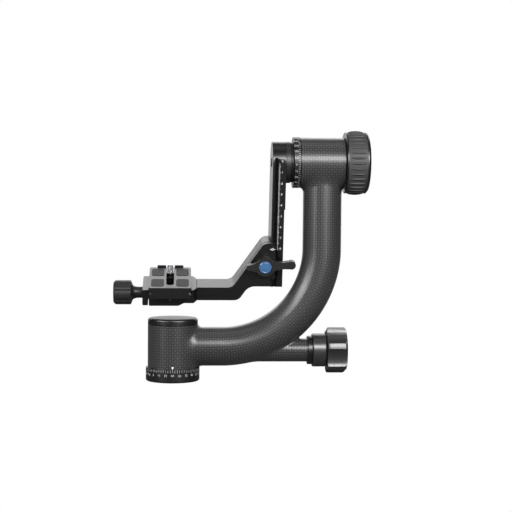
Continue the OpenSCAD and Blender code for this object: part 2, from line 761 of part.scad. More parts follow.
module front_jaw() {
    color(black) swing() difference() {
        union() {
            along_y(cradle_front, cradle_front + front_jaw_t - jaw_seam_gap) intersection() {
                cradle_outline();
                above_seam(0);
            }
            along_y(cradle_front, -hub_r - face_gap) polygon(rounded([
                [cradle_x1 - 3, -cradle_drop, 0], [hook_x1, -cradle_drop, 3],
                [hook_x1, -jaw_seam_drop, 1], [cradle_x1 - 3, -jaw_seam_drop, 0]]));
            jaw_tooth(-1, jaw_seam_drop, cradle_drop + 3);
        }
        translate([pivot_x, 0, -pivot_drop]) bar_y(cradle_front - 1, cradle_back, jaw_stud_r + run_fit);
        translate([jaw_pin_x, 0, -jaw_pin_drop]) bar_y(jaw_pin_front - 0.6, cradle_back, jaw_pin_r + run_fit);
    }
}

// Clamp lever
module wing_lever() {
    tip = 3.8;
    waist = 3;
    flare = lever_hub_d / 2 - 0.5;
    lean = 4;
    color(grey) swing() translate([pivot_x, 0, -pivot_drop]) difference() {
        union() {
            bar_y(lever_front, lever_back, lever_hub_d / 2);
            along_y(lever_front + 0.4, lever_back - 1.2) rotate(lean) {
                for (side = [-1, 1]) scale([1, side]) {
                    polygon(rounded([
                        [-2, -1, 0], [wing_long - tip, -1, 0], [wing_long - tip, tip, 3], [wing_long - 10, waist, 9],
                        [9.4, waist + 0.8, 7], [2.8, flare, 0], [-2, flare, 0]]));
                    polygon(rounded([
                        [2, -1, 0], [2, flare, 0], [-2.8, flare, 0], [-9.6, 3.4, 7], [-wing_short, 2.2, 1.4],
                        [-wing_short, -1, 0]]));
                }
                translate([wing_long - tip, 0]) circle(tip);
            }
        }
        bar_y(lever_back - 4.5, lever_back + 1, jaw_stud_r + run_fit);
        bar_y(lever_front - 1, lever_back - 4.5, button_d / 2 + run_fit);
    }
}
module lever_button() {
    r = button_d / 2;
    face = lever_front - button_proud;
    color(blue) swing() translate([pivot_x, lever_back - 4.5 - button_proud - face_gap, -pivot_drop])
        rotate([90, 0, 0]) rotate_extrude() polygon([
            [0, 0], [r, 0], [r, lever_back - 4.5 - button_proud - face_gap - face - 0.6],
            [r - 0.6, lever_back - 4.5 - button_proud - face_gap - face],
            [0, lever_back - 4.5 - button_proud - face_gap - face]]);
}

// Clamp: fixed body, sliding jaw and knob
module clamp_body() {
    color(black) swing() difference() {
        intersection() {
            along_y(clamp_front, clamp_back) polygon(rounded([
                [clamp_x0, -floor_drop, 0], [fixed_jaw_x, -floor_drop, 0.4],
                [fixed_jaw_x, -(plate_drop + slab_t + undercut), 0],
                [fixed_jaw_x - undercut + lip_gap, -clamp_drop, 0.1],
                [clamp_x1, -clamp_drop, 1], [clamp_x1, -clamp_low, 1],
                [bulge_x + 5.1, -clamp_low, 4], [bulge_x, -clamp_low - bulge_t, 4],
                [clamp_x0, -clamp_low - bulge_t, 1]]));
            translate([0, 0, -clamp_low - 20]) linear_extrude(60) polygon(rounded([
                [clamp_x0 - 5, clamp_front - 1, 0], [clamp_x1 - end_run, clamp_front - 1, 0],
                [clamp_x1 - end_run, clamp_front, 0.8], [clamp_x1, clamp_front + end_slant, 1],
                [clamp_x1, clamp_back - end_slant, 1], [clamp_x1 - end_run, clamp_back, 0.8],
                [clamp_x1 - end_run, clamp_back + 1, 0], [clamp_x0 - 5, clamp_back + 1, 0]]));
        }
        translate([tongue_x, cradle_mid - tongue_w / 2, -clamp_low - 1])
            cube([clamp_x1 - tongue_x + 1, tongue_w, tongue_t + clamp_low - platform_drop + 1]);
        on_clamp_stud(0) bar_x(clamp_x0 - 1, clamp_x0 + stud_depth, clamp_stud_r);
        for (side = [-1, 1]) on_clamp_stud(side) bar_x(clamp_x0 - 1, clamp_x0 + stud_depth, pin_r);
        clamp_screw_places() translate([0, 0, tongue_t - 1]) cylinder(h = 4, r = 2);
    }
}
module on_clamp_stud(side) {
    translate([0, cradle_mid + side * pin_spread, -clamp_stud_drop]) children();
}
module clamp_screw(i) {
    color(steel) swing() clamp_screw_place(2 * i - 3) difference() {
        union() {
            translate([0, 0, 0.2]) cylinder(h = tongue_t + 2, r = 2);
            translate([0, 0, 0.2]) cylinder(h = 1.5, r1 = 3.6, r2 = 2);
        }
        cylinder(h = 1.4, r = 1.4, $fn = 6);
    }
}
module clamp_stud() {
    color(steel) swing() on_clamp_stud(0)
        bar_x(neck_x - clamp_neck_l - 6, clamp_x0 + stud_depth, clamp_stud_r);
}
module guide_pin(i) {
    color(steel) swing() on_clamp_stud(2 * i - 3)
        bar_x(sliding_x0 + 1.2, clamp_x0 + stud_depth, pin_r);
}
module clamp_jaw() {
    touch = face_gap / 2;
    nose_x = plate_x - plate_half - touch;
    color(black) swing() difference() {
        along_y(clamp_front, clamp_back) polygon(rounded([
            [sliding_x0, -clamp_drop, 1], [nose_x + undercut - lip_gap, -clamp_drop, 0.1],
            [nose_x, -(plate_drop + slab_t + undercut), 0], [nose_x, -floor_drop, 0],
            [sliding_x1, -floor_drop - 0.6, 0], [sliding_x1, -clamp_low - bulge_t + 0.5, 0.6],
            [sliding_x0, -clamp_low - bulge_t + 0.5, 1]]));
        on_clamp_stud(0) bar_x(sliding_x0 - 1, sliding_x1 + 4, clamp_stud_r + run_fit);
        for (side = [-1, 1]) on_clamp_stud(side) bar_x(sliding_x0 + 1, sliding_x1 + 4, pin_r + run_fit);
    }
}
module clamp_knob() {
    r = clamp_knob_d / 2;
    head_x = clamp_knob_x + clamp_knob_l;
    neck_r = 5.1;
    flare = 3.2;
    bell = 5.4;
    flutes = 8;
    color(grey) swing() on_clamp_stud(0) difference() {
        turned_x(concat(
            [[0, clamp_knob_x], [r - 2, clamp_knob_x], [r, clamp_knob_x + 2], [r, head_x]],
            [for (i = [0:6]) [neck_r + flare * (1 - sin(15 * i)), head_x + 1.2 + bell * (1 - cos(15 * i))]],
            [[neck_r, neck_x], [0, neck_x]]));
        for (i = [0:flutes - 1]) rotate([360 * (i + 0.5) / flutes, 0, 0]) translate([0, r + 2.2, 0])
            bar_x(clamp_knob_x - 1, head_x + bell + 1, 3);
        bar_x(neck_x - clamp_neck_l - 8, neck_x + 1, clamp_stud_r + run_fit);
    }
}

// Quick release plate, its pads and the camera screw
module slot_space(w, low, high) {
    r = w / 2;
    v0 = slot_front + slot_w / 2;
    v1 = slot_back - slot_w / 2;
    translate([plate_x, v0, -low]) cylinder(h = low - high, r = r);
    translate([plate_x, v1, -low]) cylinder(h = low - high, r = r);
    translate([plate_x - r, v0, -low]) cube([w, v1 - v0, low - high]);
}
module quick_plate() {
    corner = 2.2;
    h = plate_half;
    color(grey) swing() difference() {
        intersection() {
            along_y(plate_front, plate_back) polygon([for (side = [-1, 1], i = [0:4])
                let (k = side < 0 ? i : 4 - i)
                [plate_x + side * [h, h, h - undercut, h, h][k],
                 -[plate_drop, plate_drop + slab_t, plate_drop + slab_t, plate_drop + slab_t + undercut,
                   plate_low][k]]]);
            translate([plate_x, cradle_mid, -plate_low - 1]) linear_extrude(plate_t + 2)
                polygon(rounded([for (q = [[-1, -1], [1, -1], [1, 1], [-1, 1]])
                    [q.x * h, q.y * plate_l / 2, corner]]));
        }
        slot_space(slot_w, plate_low + 1, plate_drop - 1);
        slot_space(2 * head_r + 1, plate_low + 1, head_drop);
        pad_places() translate([0, 0, -0.8]) pad_shape();
    }
    color(steel) swing() for (v = [plate_front + stop_inset, plate_back - stop_inset])
        translate([plate_x, v, -plate_low - stop_h]) cylinder(h = stop_h, r = stop_r);
}
module pad_places() {
    for (i = [0:3]) pad_place(i) children();
}
module pad_place(i) {
    side = i % 2 == 0 ? -1 : 1;
    v = i < 2 ? plate_front + 5.2 + pad_l / 2 : plate_back - 5.4 - pad_l / 2;
    translate([plate_x + side * (plate_half - 2.2 - pad_w / 2), v, -plate_drop]) children();
}
module pad_shape() {
    corner = 3;
    linear_extrude(0.8 + pad_proud) polygon(rounded([for (q = [[-1, -1], [1, -1], [1, 1], [-1, 1]])
        [q.x * pad_w / 2, q.y * pad_l / 2, corner]]));
}
module pad(i) {
    color(rubber) swing() pad_place(i) translate([0, 0, -0.8]) pad_shape();
}
module plate_lips() {
    lip_w = 8;
    lip_t = 1.6;
    color(black) swing() for (side = [-1, 1])
        translate([plate_x + side * 8 - lip_w / 2, plate_back, -plate_drop - slab_t])
            cube([lip_w, lip_t, slab_t + 1.8]);
}
module screw_washer() {
    color(steel) swing() translate([plate_x, stud_v, -head_drop - washer_t])
        ring(stud_neck_r + run_fit, head_r - 0.3, washer_t);
}
module camera_screw() {
    head_h = plate_low - head_drop - washer_t - 1.2;
    head_low = head_drop + washer_t + head_h + 0.1;
    color(steel) swing() translate([plate_x, stud_v, 0]) difference() {
        union() {
            translate([0, 0, -head_low]) cylinder(h = head_h, r = head_r - 0.1);
            translate([0, 0, -head_low]) cylinder(h = head_low - thread_drop, r = stud_neck_r);
            translate([0, 0, -thread_drop]) cylinder(h = stud_h, r = stud_d / 2);
        }
        translate([-head_r, -0.8, -head_low - 1]) cube([2 * head_r, 1.6, 2.4]);
    }
}

base_disc();
dial_ring();
thread_bush();
pan_spindle();
pan_bearing_low();
pan_bearing_high();
spindle_washer();
spindle_nut();
base_screw(0);  // base_screw_1
base_screw(1);  // base_screw_2
base_screw(2);  // base_screw_3
carbon_arm();
pan_housing();
base_cap();
branch_flange();
tilt_ring();
tilt_housing();
tilt_bearing_left();
tilt_bearing_right();
tilt_end_plate();
brake_shoe();
lock_rod();
pan_knob_collar();
pan_knob_grip();
pressure_disc();
tilt_screw();
tilt_knob_core();
tilt_knob_grip();
swing_arm();
hub_flange();
tilt_shaft();
shaft_bolt();
shaft_cap();
shaft_collar();
rail_stop();
cradle();
rear_jaw();
rear_jaw_screw(1);  // rear_jaw_screw_1
rear_jaw_screw(2);  // rear_jaw_screw_2
jaw_stud();
jaw_pin();
clamp_body();
clamp_screw(1);  // clamp_screw_1
clamp_screw(2);  // clamp_screw_2
clamp_stud();
guide_pin(1);  // guide_pin_1
guide_pin(2);  // guide_pin_2
front_jaw();
wing_lever();
lever_button();
clamp_jaw();
clamp_knob();
quick_plate();
pad(0);  // pad_1
pad(1);  // pad_2
pad(2);  // pad_3
pad(3);  // pad_4
plate_lips();
screw_washer();
camera_screw();
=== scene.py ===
import json
import math
import bpy
import numpy as np
from mathutils import Matrix, Vector


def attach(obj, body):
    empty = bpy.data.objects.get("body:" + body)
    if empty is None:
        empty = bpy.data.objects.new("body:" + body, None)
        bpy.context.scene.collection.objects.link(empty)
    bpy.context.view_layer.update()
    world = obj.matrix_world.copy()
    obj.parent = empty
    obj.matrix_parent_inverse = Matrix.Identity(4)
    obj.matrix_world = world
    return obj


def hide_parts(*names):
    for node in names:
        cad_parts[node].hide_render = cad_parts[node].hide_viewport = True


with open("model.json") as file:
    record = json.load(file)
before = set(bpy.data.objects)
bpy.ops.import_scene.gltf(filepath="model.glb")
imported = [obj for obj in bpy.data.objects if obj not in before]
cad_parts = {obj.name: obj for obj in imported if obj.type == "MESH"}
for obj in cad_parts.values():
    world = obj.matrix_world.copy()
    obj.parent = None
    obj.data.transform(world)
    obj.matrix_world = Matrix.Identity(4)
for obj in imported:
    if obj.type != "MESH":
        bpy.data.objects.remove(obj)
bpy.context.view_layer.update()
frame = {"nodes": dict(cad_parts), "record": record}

# Gimbal head. Sizes are in millimetres, and each piece is drawn where it stands.
mm = 0.001
# points nearer than this, in metres, are merged
nearDrawn = 1e-6
nearSolid = 2e-6
# steps in a rounded corner of a profile
cornerParts = 5

# Shared places
tilt = {"height": 195.3, "rest": 14.5}
branchZ = 26.95
onTilt = Matrix.Translation((0, 0, tilt["height"] * mm))
onSwing = onTilt @ Matrix.Rotation(math.radians(tilt["rest"]), 4, "X")
onBranch = Matrix.Translation((0, 0, branchZ * mm))


# Shop tools
def clearPick():
    if bpy.context.mode != "OBJECT":
        bpy.ops.object.mode_set(mode="OBJECT")
    bpy.ops.object.select_all(action="DESELECT")


def take(*pieces):
    clearPick()
    for piece in pieces:
        piece.select_set(True)
    bpy.context.view_layer.objects.active = pieces[0]
    return pieces[0]


def openEdit(piece, kind="VERT", pick="SELECT"):
    take(piece)
    bpy.ops.object.mode_set(mode="EDIT")
    bpy.ops.mesh.select_mode(type=kind)
    bpy.ops.mesh.select_all(action=pick)


def closeEdit():
    bpy.ops.object.mode_set(mode="OBJECT")


def pickFaces(piece, wanted):
    openEdit(piece, "FACE", "DESELECT")
    closeEdit()
    for face in piece.data.polygons:
        face.select = wanted(face.center / mm, face.normal)
    bpy.ops.object.mode_set(mode="EDIT")


def drawn(name, points, closed=False):
    # a small plane merged to one point, then drawn on from point to point
    clearPick()
    here = Vector(points[0]) * mm
    bpy.ops.mesh.primitive_plane_add(size=mm, location=here)
    piece = bpy.context.object
    piece.name = name
    piece.data.name = name
    bpy.ops.object.transform_apply(location=True, rotation=True, scale=True)
    openEdit(piece)
    bpy.ops.mesh.merge(type="CENTER")
    for point in list(points[1:]) + ([points[0]] if closed else []):
        there = Vector(point) * mm
        bpy.ops.mesh.extrude_vertices_move(TRANSFORM_OT_translate={"value": there - here})
        here = there
    if closed:
        bpy.ops.mesh.select_all(action="SELECT")
        bpy.ops.mesh.remove_doubles(threshold=nearDrawn)
        bpy.ops.mesh.edge_face_add()
    closeEdit()
    return piece


def tidied(piece):
    openEdit(piece)
    bpy.ops.mesh.remove_doubles(threshold=nearSolid)
    bpy.ops.mesh.normals_make_consistent(inside=False)
    closeEdit()
    return piece


def turned(name, profile, axis="Z", steps=96):
    # profile: radius and place along the axis
    spots = [(a, 0, r) if axis == "X" else (r, 0, a) for r, a in profile]
    piece = drawn(name, spots)
    openEdit(piece)
    bpy.ops.mesh.spin(steps=steps, angle=math.tau, center=(0, 0, 0),
                      axis=(1, 0, 0) if axis == "X" else (0, 0, 1))
    return tidied(piece)


def rounded(corners, closed=True):
    # corners: x, y and the radius that the corner is rounded to
    made = []
    count = len(corners)
    for i, (x, y, r) in enumerate(corners):
        if r == 0 or (not closed and i in (0, count - 1)):
            made.append((x, y))
            continue
        a = Vector(corners[i - 1][:2])
        b = Vector((x, y))
        c = Vector(corners[(i + 1) % count][:2])
        u = (a - b).normalized()
        v = (c - b).normalized()
        half = u.angle(v) / 2
        middle = b + (u + v).normalized() * (r / math.sin(half))
        arm = b + u * (r / math.tan(half)) - middle
        into = b - a
        out = c - b
        way = 1 if into.x * out.y - into.y * out.x > 0 else -1
        for k in range(cornerParts + 1):
            t = way * (math.pi - 2 * half) * k / cornerParts
            made.append((middle.x + arm.x * math.cos(t) - arm.y * math.sin(t),
                         middle.y + arm.x * math.sin(t) + arm.y * math.cos(t)))
    return made


def sawn(name, outline, plane, start, end):
    # an outline cut from plate: plane is XZ, YZ or XY, and start and end are across it
    if plane == "XZ":
        spots = [(p[0], start, p[1]) for p in outline]
        reach = Vector((0, 1, 0))
    elif plane == "YZ":
        spots = [(start, p[0], p[1]) for p in outline]
        reach = Vector((1, 0, 0))
    else:
        spots = [(p[0], p[1], start) for p in outline]
        reach = Vector((0, 0, 1))
    piece = drawn(name, spots, closed=True)
    openEdit(piece, "FACE")
    bpy.ops.mesh.extrude_region_move(TRANSFORM_OT_translate={"value": reach * ((end - start) * mm)})
    return tidied(piece)


def rod(name, start, end, radius, sides=64):
    # a round bar between two places
    a = Vector(start)
    b = Vector(end)
    clearPick()
    bpy.ops.mesh.primitive_cylinder_add(
        vertices=sides, radius=radius * mm, depth=(b - a).length * mm, location=(a + b) / 2 * mm,
        rotation=(b - a).to_track_quat("Z", "Y").to_euler())
    piece = bpy.context.object
    piece.name = name
    bpy.ops.object.transform_apply(location=True, rotation=True, scale=True)
    return piece


def oblong(left, low, right, top):
    return [(left, low), (right, low), (right, top), (left, top)]


def applied(piece, kind, **values):
    change = piece.modifiers.new(kind.lower(), kind)
    for key, value in values.items():
        setattr(change, key, value)
    take(piece)
    bpy.ops.object.modifier_apply(modifier=change.name)
    return piece


def joined(*pieces):
    take(*pieces)
    bpy.ops.object.join()
    return pieces[0]


def cut(piece, *tools):
    for tool in tools:
        applied(piece, "BOOLEAN", operation="DIFFERENCE", solver="EXACT", object=tool)
        bpy.data.objects.remove(tool)
    return piece


def fluted(piece, count, away, radius, sides, start, end):
    # round grooves along X, evenly spaced
    for i in range(count):
        turn = math.tau * (i + 0.5) / count
        y = away * math.cos(turn)
        z = away * math.sin(turn)
        cut(piece, rod("flute", (start, y, z), (end, y, z), radius, sides))


def softened(piece, width, segments=3, angle=32):
    # rounds the edges, then shades by the size of the faces so the flats stay flat
    applied(piece, "BEVEL", width=width * mm, segments=segments, limit_method="ANGLE",
            angle_limit=math.radians(angle), miter_outer="MITER_ARC", use_clamp_overlap=True)
    return shaded(piece)


def shaded(piece, angle=35):
    take(piece)
    bpy.ops.object.shade_smooth_by_angle(angle=math.radians(angle))
    return applied(piece, "WEIGHTED_NORMAL", weight=60, keep_sharp=True)


def lathed(name, corners, axis="Z", steps=96):
    # a round piece from a profile with rounded corners, which is closed where it stands off the axis
    profile = rounded(corners, closed=False)
    if profile[0][0] > 0 and profile[-1] != profile[0]:
        profile.append(profile[0])
    return shaded(turned(name, profile, axis, steps))


def placed(piece, matrix):
    take(piece)
    piece.matrix_world = matrix
    bpy.ops.object.transform_apply(location=True, rotation=True, scale=True)
    return piece


def repeated(piece, places):
    # copies, each with its own mesh, joined into the first
    rest = []
    for place in places[1:]:
        copy = piece.copy()
        copy.data = piece.data.copy()
        bpy.context.scene.collection.objects.link(copy)
        rest.append(placed(copy, place))
    placed(piece, places[0])
    return joined(piece, *rest) if rest else piece


def fromNode(name, node):
    # a copy of a solid's mesh, merged and cleared of the lines across its flats
    piece = frame["nodes"][node].copy()
    piece.data = piece.data.copy()
    bpy.context.scene.collection.objects.link(piece)
    piece.parent = None
    piece.matrix_world = Matrix.Identity(4)
    for key in list(piece.keys()):
        del piece[key]
    piece.name = name
    piece.data.name = name
    take(piece)
    bpy.ops.mesh.customdata_custom_splitnormals_clear()
    openEdit(piece)
    bpy.ops.mesh.remove_doubles(threshold=nearSolid)
    bpy.ops.mesh.dissolve_limited(angle_limit=math.radians(0.6))
    closeEdit()
    return piece


def finished(piece, body, nodes, finish):
    # one finish all over, the body that it moves with, and the solids that it stands for
    piece.data.materials.clear()
    piece.data.materials.append(finishes[finish])
    for face in piece.data.polygons:
        face.material_index = 0
    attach(piece, body)
    if nodes:
        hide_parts(*nodes)
    return piece


# Finishes
colour = "NodeSocketColor"
number = "NodeSocketFloat"
groupInputs = [("Dark", colour), ("Light", colour), ("Rough Low", number), ("Rough High", number)]
groupOutputs = [("Colour", colour), ("Roughness", number), ("Height", number)]


def addNode(tree, kind, **values):
    node = tree.nodes.new(kind)
    for key, value in values.items():
        setattr(node, key, value)
    return node


def worked(tree, work, *values):
    # a sum of plain numbers and outputs
    node = addNode(tree, "ShaderNodeMath", operation=work)
    for socket, value in zip(node.inputs, values):
        if isinstance(value, (int, float)):
            socket.default_value = value
        else:
            tree.links.new(value, socket)
    return node.outputs[0]


def newGroup(name, *more):
    group = bpy.data.node_groups.new(name, "ShaderNodeTree")
    for label, kind in groupInputs + list(more):
        group.interface.new_socket(label, in_out="INPUT", socket_type=kind)
    for label, kind in groupOutputs:
        group.interface.new_socket(label, in_out="OUTPUT", socket_type=kind)
    return group, addNode(group, "NodeGroupInput"), addNode(group, "NodeGroupOutput")


def endGroup(group, given, result, share, height):
    # share takes the colour from dark to light and the roughness from low to high
    mix = addNode(group, "ShaderNodeMix", data_type="RGBA")
    group.links.new(share, mix.inputs[0])
    group.links.new(given.outputs["Dark"], mix.inputs[6])
    group.links.new(given.outputs["Light"], mix.inputs[7])
    group.links.new(mix.outputs[2], result.inputs["Colour"])
    low = given.outputs["Rough Low"]
    span = worked(group, "SUBTRACT", given.outputs["Rough High"], low)
    rough = worked(group, "ADD", worked(group, "MULTIPLY", span, share), low)
    group.links.new(rough, result.inputs["Roughness"])
    group.links.new(height, result.inputs["Height"])
    return group


grainPlan = {"detail": 2, "share": 0.45, "cloud": 60, "cloudDetail": 3, "cloudShare": 0.55}


def makeGrain(p):
    # fine blasted grain and slow, faint clouds, from the place on the piece
    group, given, result = newGroup("blastedGrain", ("Size", number))
    place = addNode(group, "ShaderNodeTexCoord")
    fine = addNode(group, "ShaderNodeTexNoise")
    fine.inputs["Detail"].default_value = p["detail"]
    slow = addNode(group, "ShaderNodeTexNoise")
    slow.inputs["Scale"].default_value = p["cloud"]
    slow.inputs["Detail"].default_value = p["cloudDetail"]
    group.links.new(place.outputs["Object"], fine.inputs["Vector"])
    group.links.new(place.outputs["Object"], slow.inputs["Vector"])
    group.links.new(given.outputs["Size"], fine.inputs["Scale"])
    both = worked(group, "ADD", worked(group, "MULTIPLY", fine.outputs[0], p["share"]),
                  worked(group, "MULTIPLY", slow.outputs[0], p["cloudShare"]))
    return endGroup(group, given, result, both, fine.outputs[0])


weavePlan = {"threads": 5, "threadHigh": 0.03, "swell": 0.5, "crossingShineShare": 0.8, "overSheenShare": 0.2}


def makeWeave(p):
    # plain weave on the tube's own map, where one unit is one tow; its colour is lighter at each tow
    # crossing, a painted highlight, and darker between the tows, painted shade
    group, given, result = newGroup("carbonWeave")
    place = addNode(group, "ShaderNodeTexCoord")
    parts = addNode(group, "ShaderNodeSeparateXYZ")
    group.links.new(place.outputs["UV"], parts.inputs[0])

    def work(kind, *values):
        return worked(group, kind, *values)

    across = parts.outputs[0]
    along = parts.outputs[1]
    hillA = work("ABSOLUTE", work("SINE", work("MULTIPLY", across, math.pi)))
    hillB = work("ABSOLUTE", work("SINE", work("MULTIPLY", along, math.pi)))
    tows = []
    for way, hill, other in ((across, hillA, hillB), (along, hillB, hillA)):
        swell = work("ADD", work("MULTIPLY", other, p["swell"]), p["swell"])
        thread = work("SINE", work("MULTIPLY", way, math.tau * p["threads"]))
        tows.append(work("ADD", work("MULTIPLY", hill, swell), work("MULTIPLY", thread, p["threadHigh"])))
    # warp and weft lie on top by turns, from square to square
    over = work("FLOORED_MODULO", work("ADD", work("FLOOR", across), work("FLOOR", along)), 2.0)
    warp = work("MULTIPLY", tows[0], work("SUBTRACT", 1.0, over))
    height = work("ADD", warp, work("MULTIPLY", tows[1], over))
    # painted highlight in the middle of each square and painted shade towards its edges, plus a painted sheen
    # on the squares where the weft lies on top
    dot = work("POWER", work("MULTIPLY", hillA, hillB), 2.0)
    share = work("ADD", work("MULTIPLY", dot, p["crossingShineShare"]), work("MULTIPLY", over, p["overSheenShare"]))
    return endGroup(group, given, result, share, height)


groups = {"grain": makeGrain(grainPlan), "weave": makeWeave(weavePlan)}


def newFinish(name, dark, light, rough, group="grain", metallic=0.0, bump=0.1, depth=0.01, specular=0.5,
              coat=0.0, coatRough=0.18, size=5200):
    finish = bpy.data.materials.new(name)
    finish.use_nodes = True
    tree = finish.node_tree
    shader = tree.nodes["Principled BSDF"]
    effect = addNode(tree, "ShaderNodeGroup", node_tree=groups[group])
    effect.inputs["Dark"].default_value = (*dark, 1)
    effect.inputs["Light"].default_value = (*light, 1)
    effect.inputs["Rough Low"].default_value = rough[0]
    effect.inputs["Rough High"].default_value = rough[1]
    if group == "grain":
        effect.inputs["Size"].default_value = size
    relief = addNode(tree, "ShaderNodeBump")
    relief.inputs["Strength"].default_value = bump
    relief.inputs["Distance"].default_value = depth * mm
    tree.links.new(effect.outputs["Height"], relief.inputs["Height"])
    tree.links.new(effect.outputs["Colour"], shader.inputs["Base Color"])
    tree.links.new(effect.outputs["Roughness"], shader.inputs["Roughness"])
    tree.links.new(relief.outputs["Normal"], shader.inputs["Normal"])
    shader.inputs["Metallic"].default_value = metallic
    shader.inputs["Specular IOR Level"].default_value = specular
    shader.inputs["Coat Weight"].default_value = coat
    shader.inputs["Coat Roughness"].default_value = coatRough
    finish.diffuse_color = (*light, 1)
    return finish


finishPlans = {
    "blackAnodised": {"dark": (0.0024, 0.0024, 0.0027), "light": (0.0045, 0.0045, 0.0049),
                      "rough": (0.28, 0.35), "specular": 0.66},
    "ringBlack": {"dark": (0.0026, 0.0026, 0.0029), "light": (0.005, 0.005, 0.0054),
                  "rough": (0.32, 0.4), "specular": 0.6},
    "plateBlack": {"dark": (0.003, 0.003, 0.0033), "light": (0.0055, 0.0055, 0.0059),
                   "rough": (0.3, 0.38), "bump": 0.15, "depth": 0.012, "specular": 0.7},
    "greyAnodised": {"dark": (0.009, 0.009, 0.0095), "light": (0.015, 0.015, 0.016),
                     "rough": (0.34, 0.44), "bump": 0.12, "specular": 0.6},
    "glossyDark": {"dark": (0.018, 0.018, 0.0185), "light": (0.026, 0.026, 0.0265),
                   "rough": (0.26, 0.34), "bump": 0.08, "specular": 0.9},
    # carbon: the light colour is the painted highlight at each tow crossing, the dark colour the painted
    # shade between the tows
    "carbon": {"dark": (0.012, 0.012, 0.0122), "light": (0.078, 0.078, 0.0795), "rough": (0.4, 0.5),
               "group": "weave", "bump": 0.35, "depth": 0.1, "specular": 0.12, "coat": 1.0, "coatRough": 0.3},
    "rubber": {"dark": (0.026, 0.026, 0.0268), "light": (0.04, 0.04, 0.0412), "rough": (0.5, 0.6),
               "bump": 0.3, "depth": 0.03, "size": 2600},
    "padRubber": {"dark": (0.03, 0.03, 0.031), "light": (0.05, 0.05, 0.0515), "rough": (0.6, 0.72),
                  "bump": 0.3, "depth": 0.03, "specular": 0.2, "size": 2600},
    "steel": {"dark": (0.52, 0.53, 0.55), "light": (0.68, 0.69, 0.71), "rough": (0.24, 0.34),
              "metallic": 0.9, "bump": 0.08},
    "brass": {"dark": (0.62, 0.46, 0.2), "light": (0.74, 0.58, 0.28), "rough": (0.26, 0.36),
              "metallic": 0.9, "bump": 0.08},
    "blueAnodised": {"dark": (0.04, 0.115, 0.25), "light": (0.05, 0.14, 0.3), "rough": (0.22, 0.3),
                     "bump": 0.08, "specular": 0.8},
    "whitePaint": {"dark": (0.7, 0.7, 0.69), "light": (0.8, 0.8, 0.79), "rough": (0.45, 0.55)},
    "greyPaint": {"dark": (0.36, 0.36, 0.355), "light": (0.44, 0.44, 0.435), "rough": (0.45, 0.55)}}
finishes = {name: newFinish(name, **plan) for name, plan in finishPlans.items()}
print("stage: finishes", len(finishes))

# Camera, floor and light
cameraPlan = {"place": (5.52, -1121.54, 157.79), "yaw": 3.497, "pitch": 2.362, "roll": 0.399, "lens": 88.24,
              "film": 36, "near": 0.05}


def setCamera(plan):
    yaw = math.radians(plan["yaw"])
    pitch = math.radians(plan["pitch"])
    roll = math.radians(plan["roll"])
    ahead = Vector((math.sin(yaw) * math.cos(pitch), math.cos(yaw) * math.cos(pitch), -math.sin(pitch)))
    level = Vector((math.cos(yaw), -math.sin(yaw), 0))
    top = level.cross(ahead)
    right = level * math.cos(roll) + top * math.sin(roll)
    up = top * math.cos(roll) - level * math.sin(roll)
    data = bpy.data.cameras.new("photoCamera")
    data.sensor_width = plan["film"]
    data.lens = plan["lens"]
    data.clip_start = plan["near"]
    camera = bpy.data.objects.new("photoCamera", data)
    turn = Matrix((right, up, -ahead)).transposed().to_4x4()
    camera.matrix_world = Matrix.Translation(Vector(plan["place"]) * mm) @ turn
    bpy.context.scene.collection.objects.link(camera)
    bpy.context.scene.camera = camera


setCamera(cameraPlan)


def shownAs(tree, real, shown, end):
    # the camera sees one shader and all other rays meet the real one
    path = addNode(tree, "ShaderNodeLightPath")
    choose = addNode(tree, "ShaderNodeMixShader")
    tree.links.new(path.outputs["Is Camera Ray"], choose.inputs[0])
    tree.links.new(real.outputs[0], choose.inputs[1])
    tree.links.new(shown.outputs[0], choose.inputs[2])
    tree.links.new(choose.outputs[0], tree.nodes[end].inputs["Surface"])


floorPlan = {"size": 12.0, "z": -0.0001, "colour": (0.12, 0.12, 0.12), "rough": 0.9, "specular": 0.1,
             "glow": 1.0}


def makeFloor(p):
    clearPick()
    bpy.ops.mesh.primitive_plane_add(size=p["size"], location=(0, 0, p["z"]))
    piece = bpy.context.object
    piece.name = "paleFloor"
    finish = bpy.data.materials.new("paleFloor")
    finish.use_nodes = True
    tree = finish.node_tree
    matte = tree.nodes["Principled BSDF"]
    matte.inputs["Base Color"].default_value = (*p["colour"], 1)
    matte.inputs["Roughness"].default_value = p["rough"]
    matte.inputs["Specular IOR Level"].default_value = p["specular"]
    glow = addNode(tree, "ShaderNodeEmission")
    glow.inputs["Strength"].default_value = p["glow"]
    shownAs(tree, matte, glow, "Material Output")
    piece.data.materials.append(finish)
    return piece


floor = makeFloor(floorPlan)

# Softboxes by their direction from the head: turn to the right of the camera, height above level, distance
# in metres, and how bright their face is
softboxes = [
    {"name": "frontRight", "turn": 28, "rise": 23, "away": 0.82, "wide": 0.72, "tall": 0.26, "glow": 15},
    {"name": "frontLeft", "turn": -50, "rise": 23, "away": 0.95, "wide": 0.75, "tall": 0.26, "glow": 12},
    {"name": "leftStrip", "turn": -44, "rise": 4, "away": 1.4, "wide": 0.07, "tall": 0.7, "glow": 14},
    {"name": "rightStrip", "turn": 25, "rise": 4, "away": 1.4, "wide": 0.06, "tall": 0.7, "glow": 11},
    {"name": "topBack", "turn": 180, "rise": 32, "away": 1.6, "wide": 2.2, "tall": 0.9, "glow": 2.1},
    {"name": "overhead", "turn": 0, "rise": 88, "away": 1.6, "wide": 1.2, "tall": 0.8, "glow": 0.6},
    {"name": "backPanel", "turn": 182, "rise": 4, "away": 1.8, "wide": 2.6, "tall": 0.6, "glow": 1.1}]
lightMiddle = Vector((0.065, 0, 0.11))
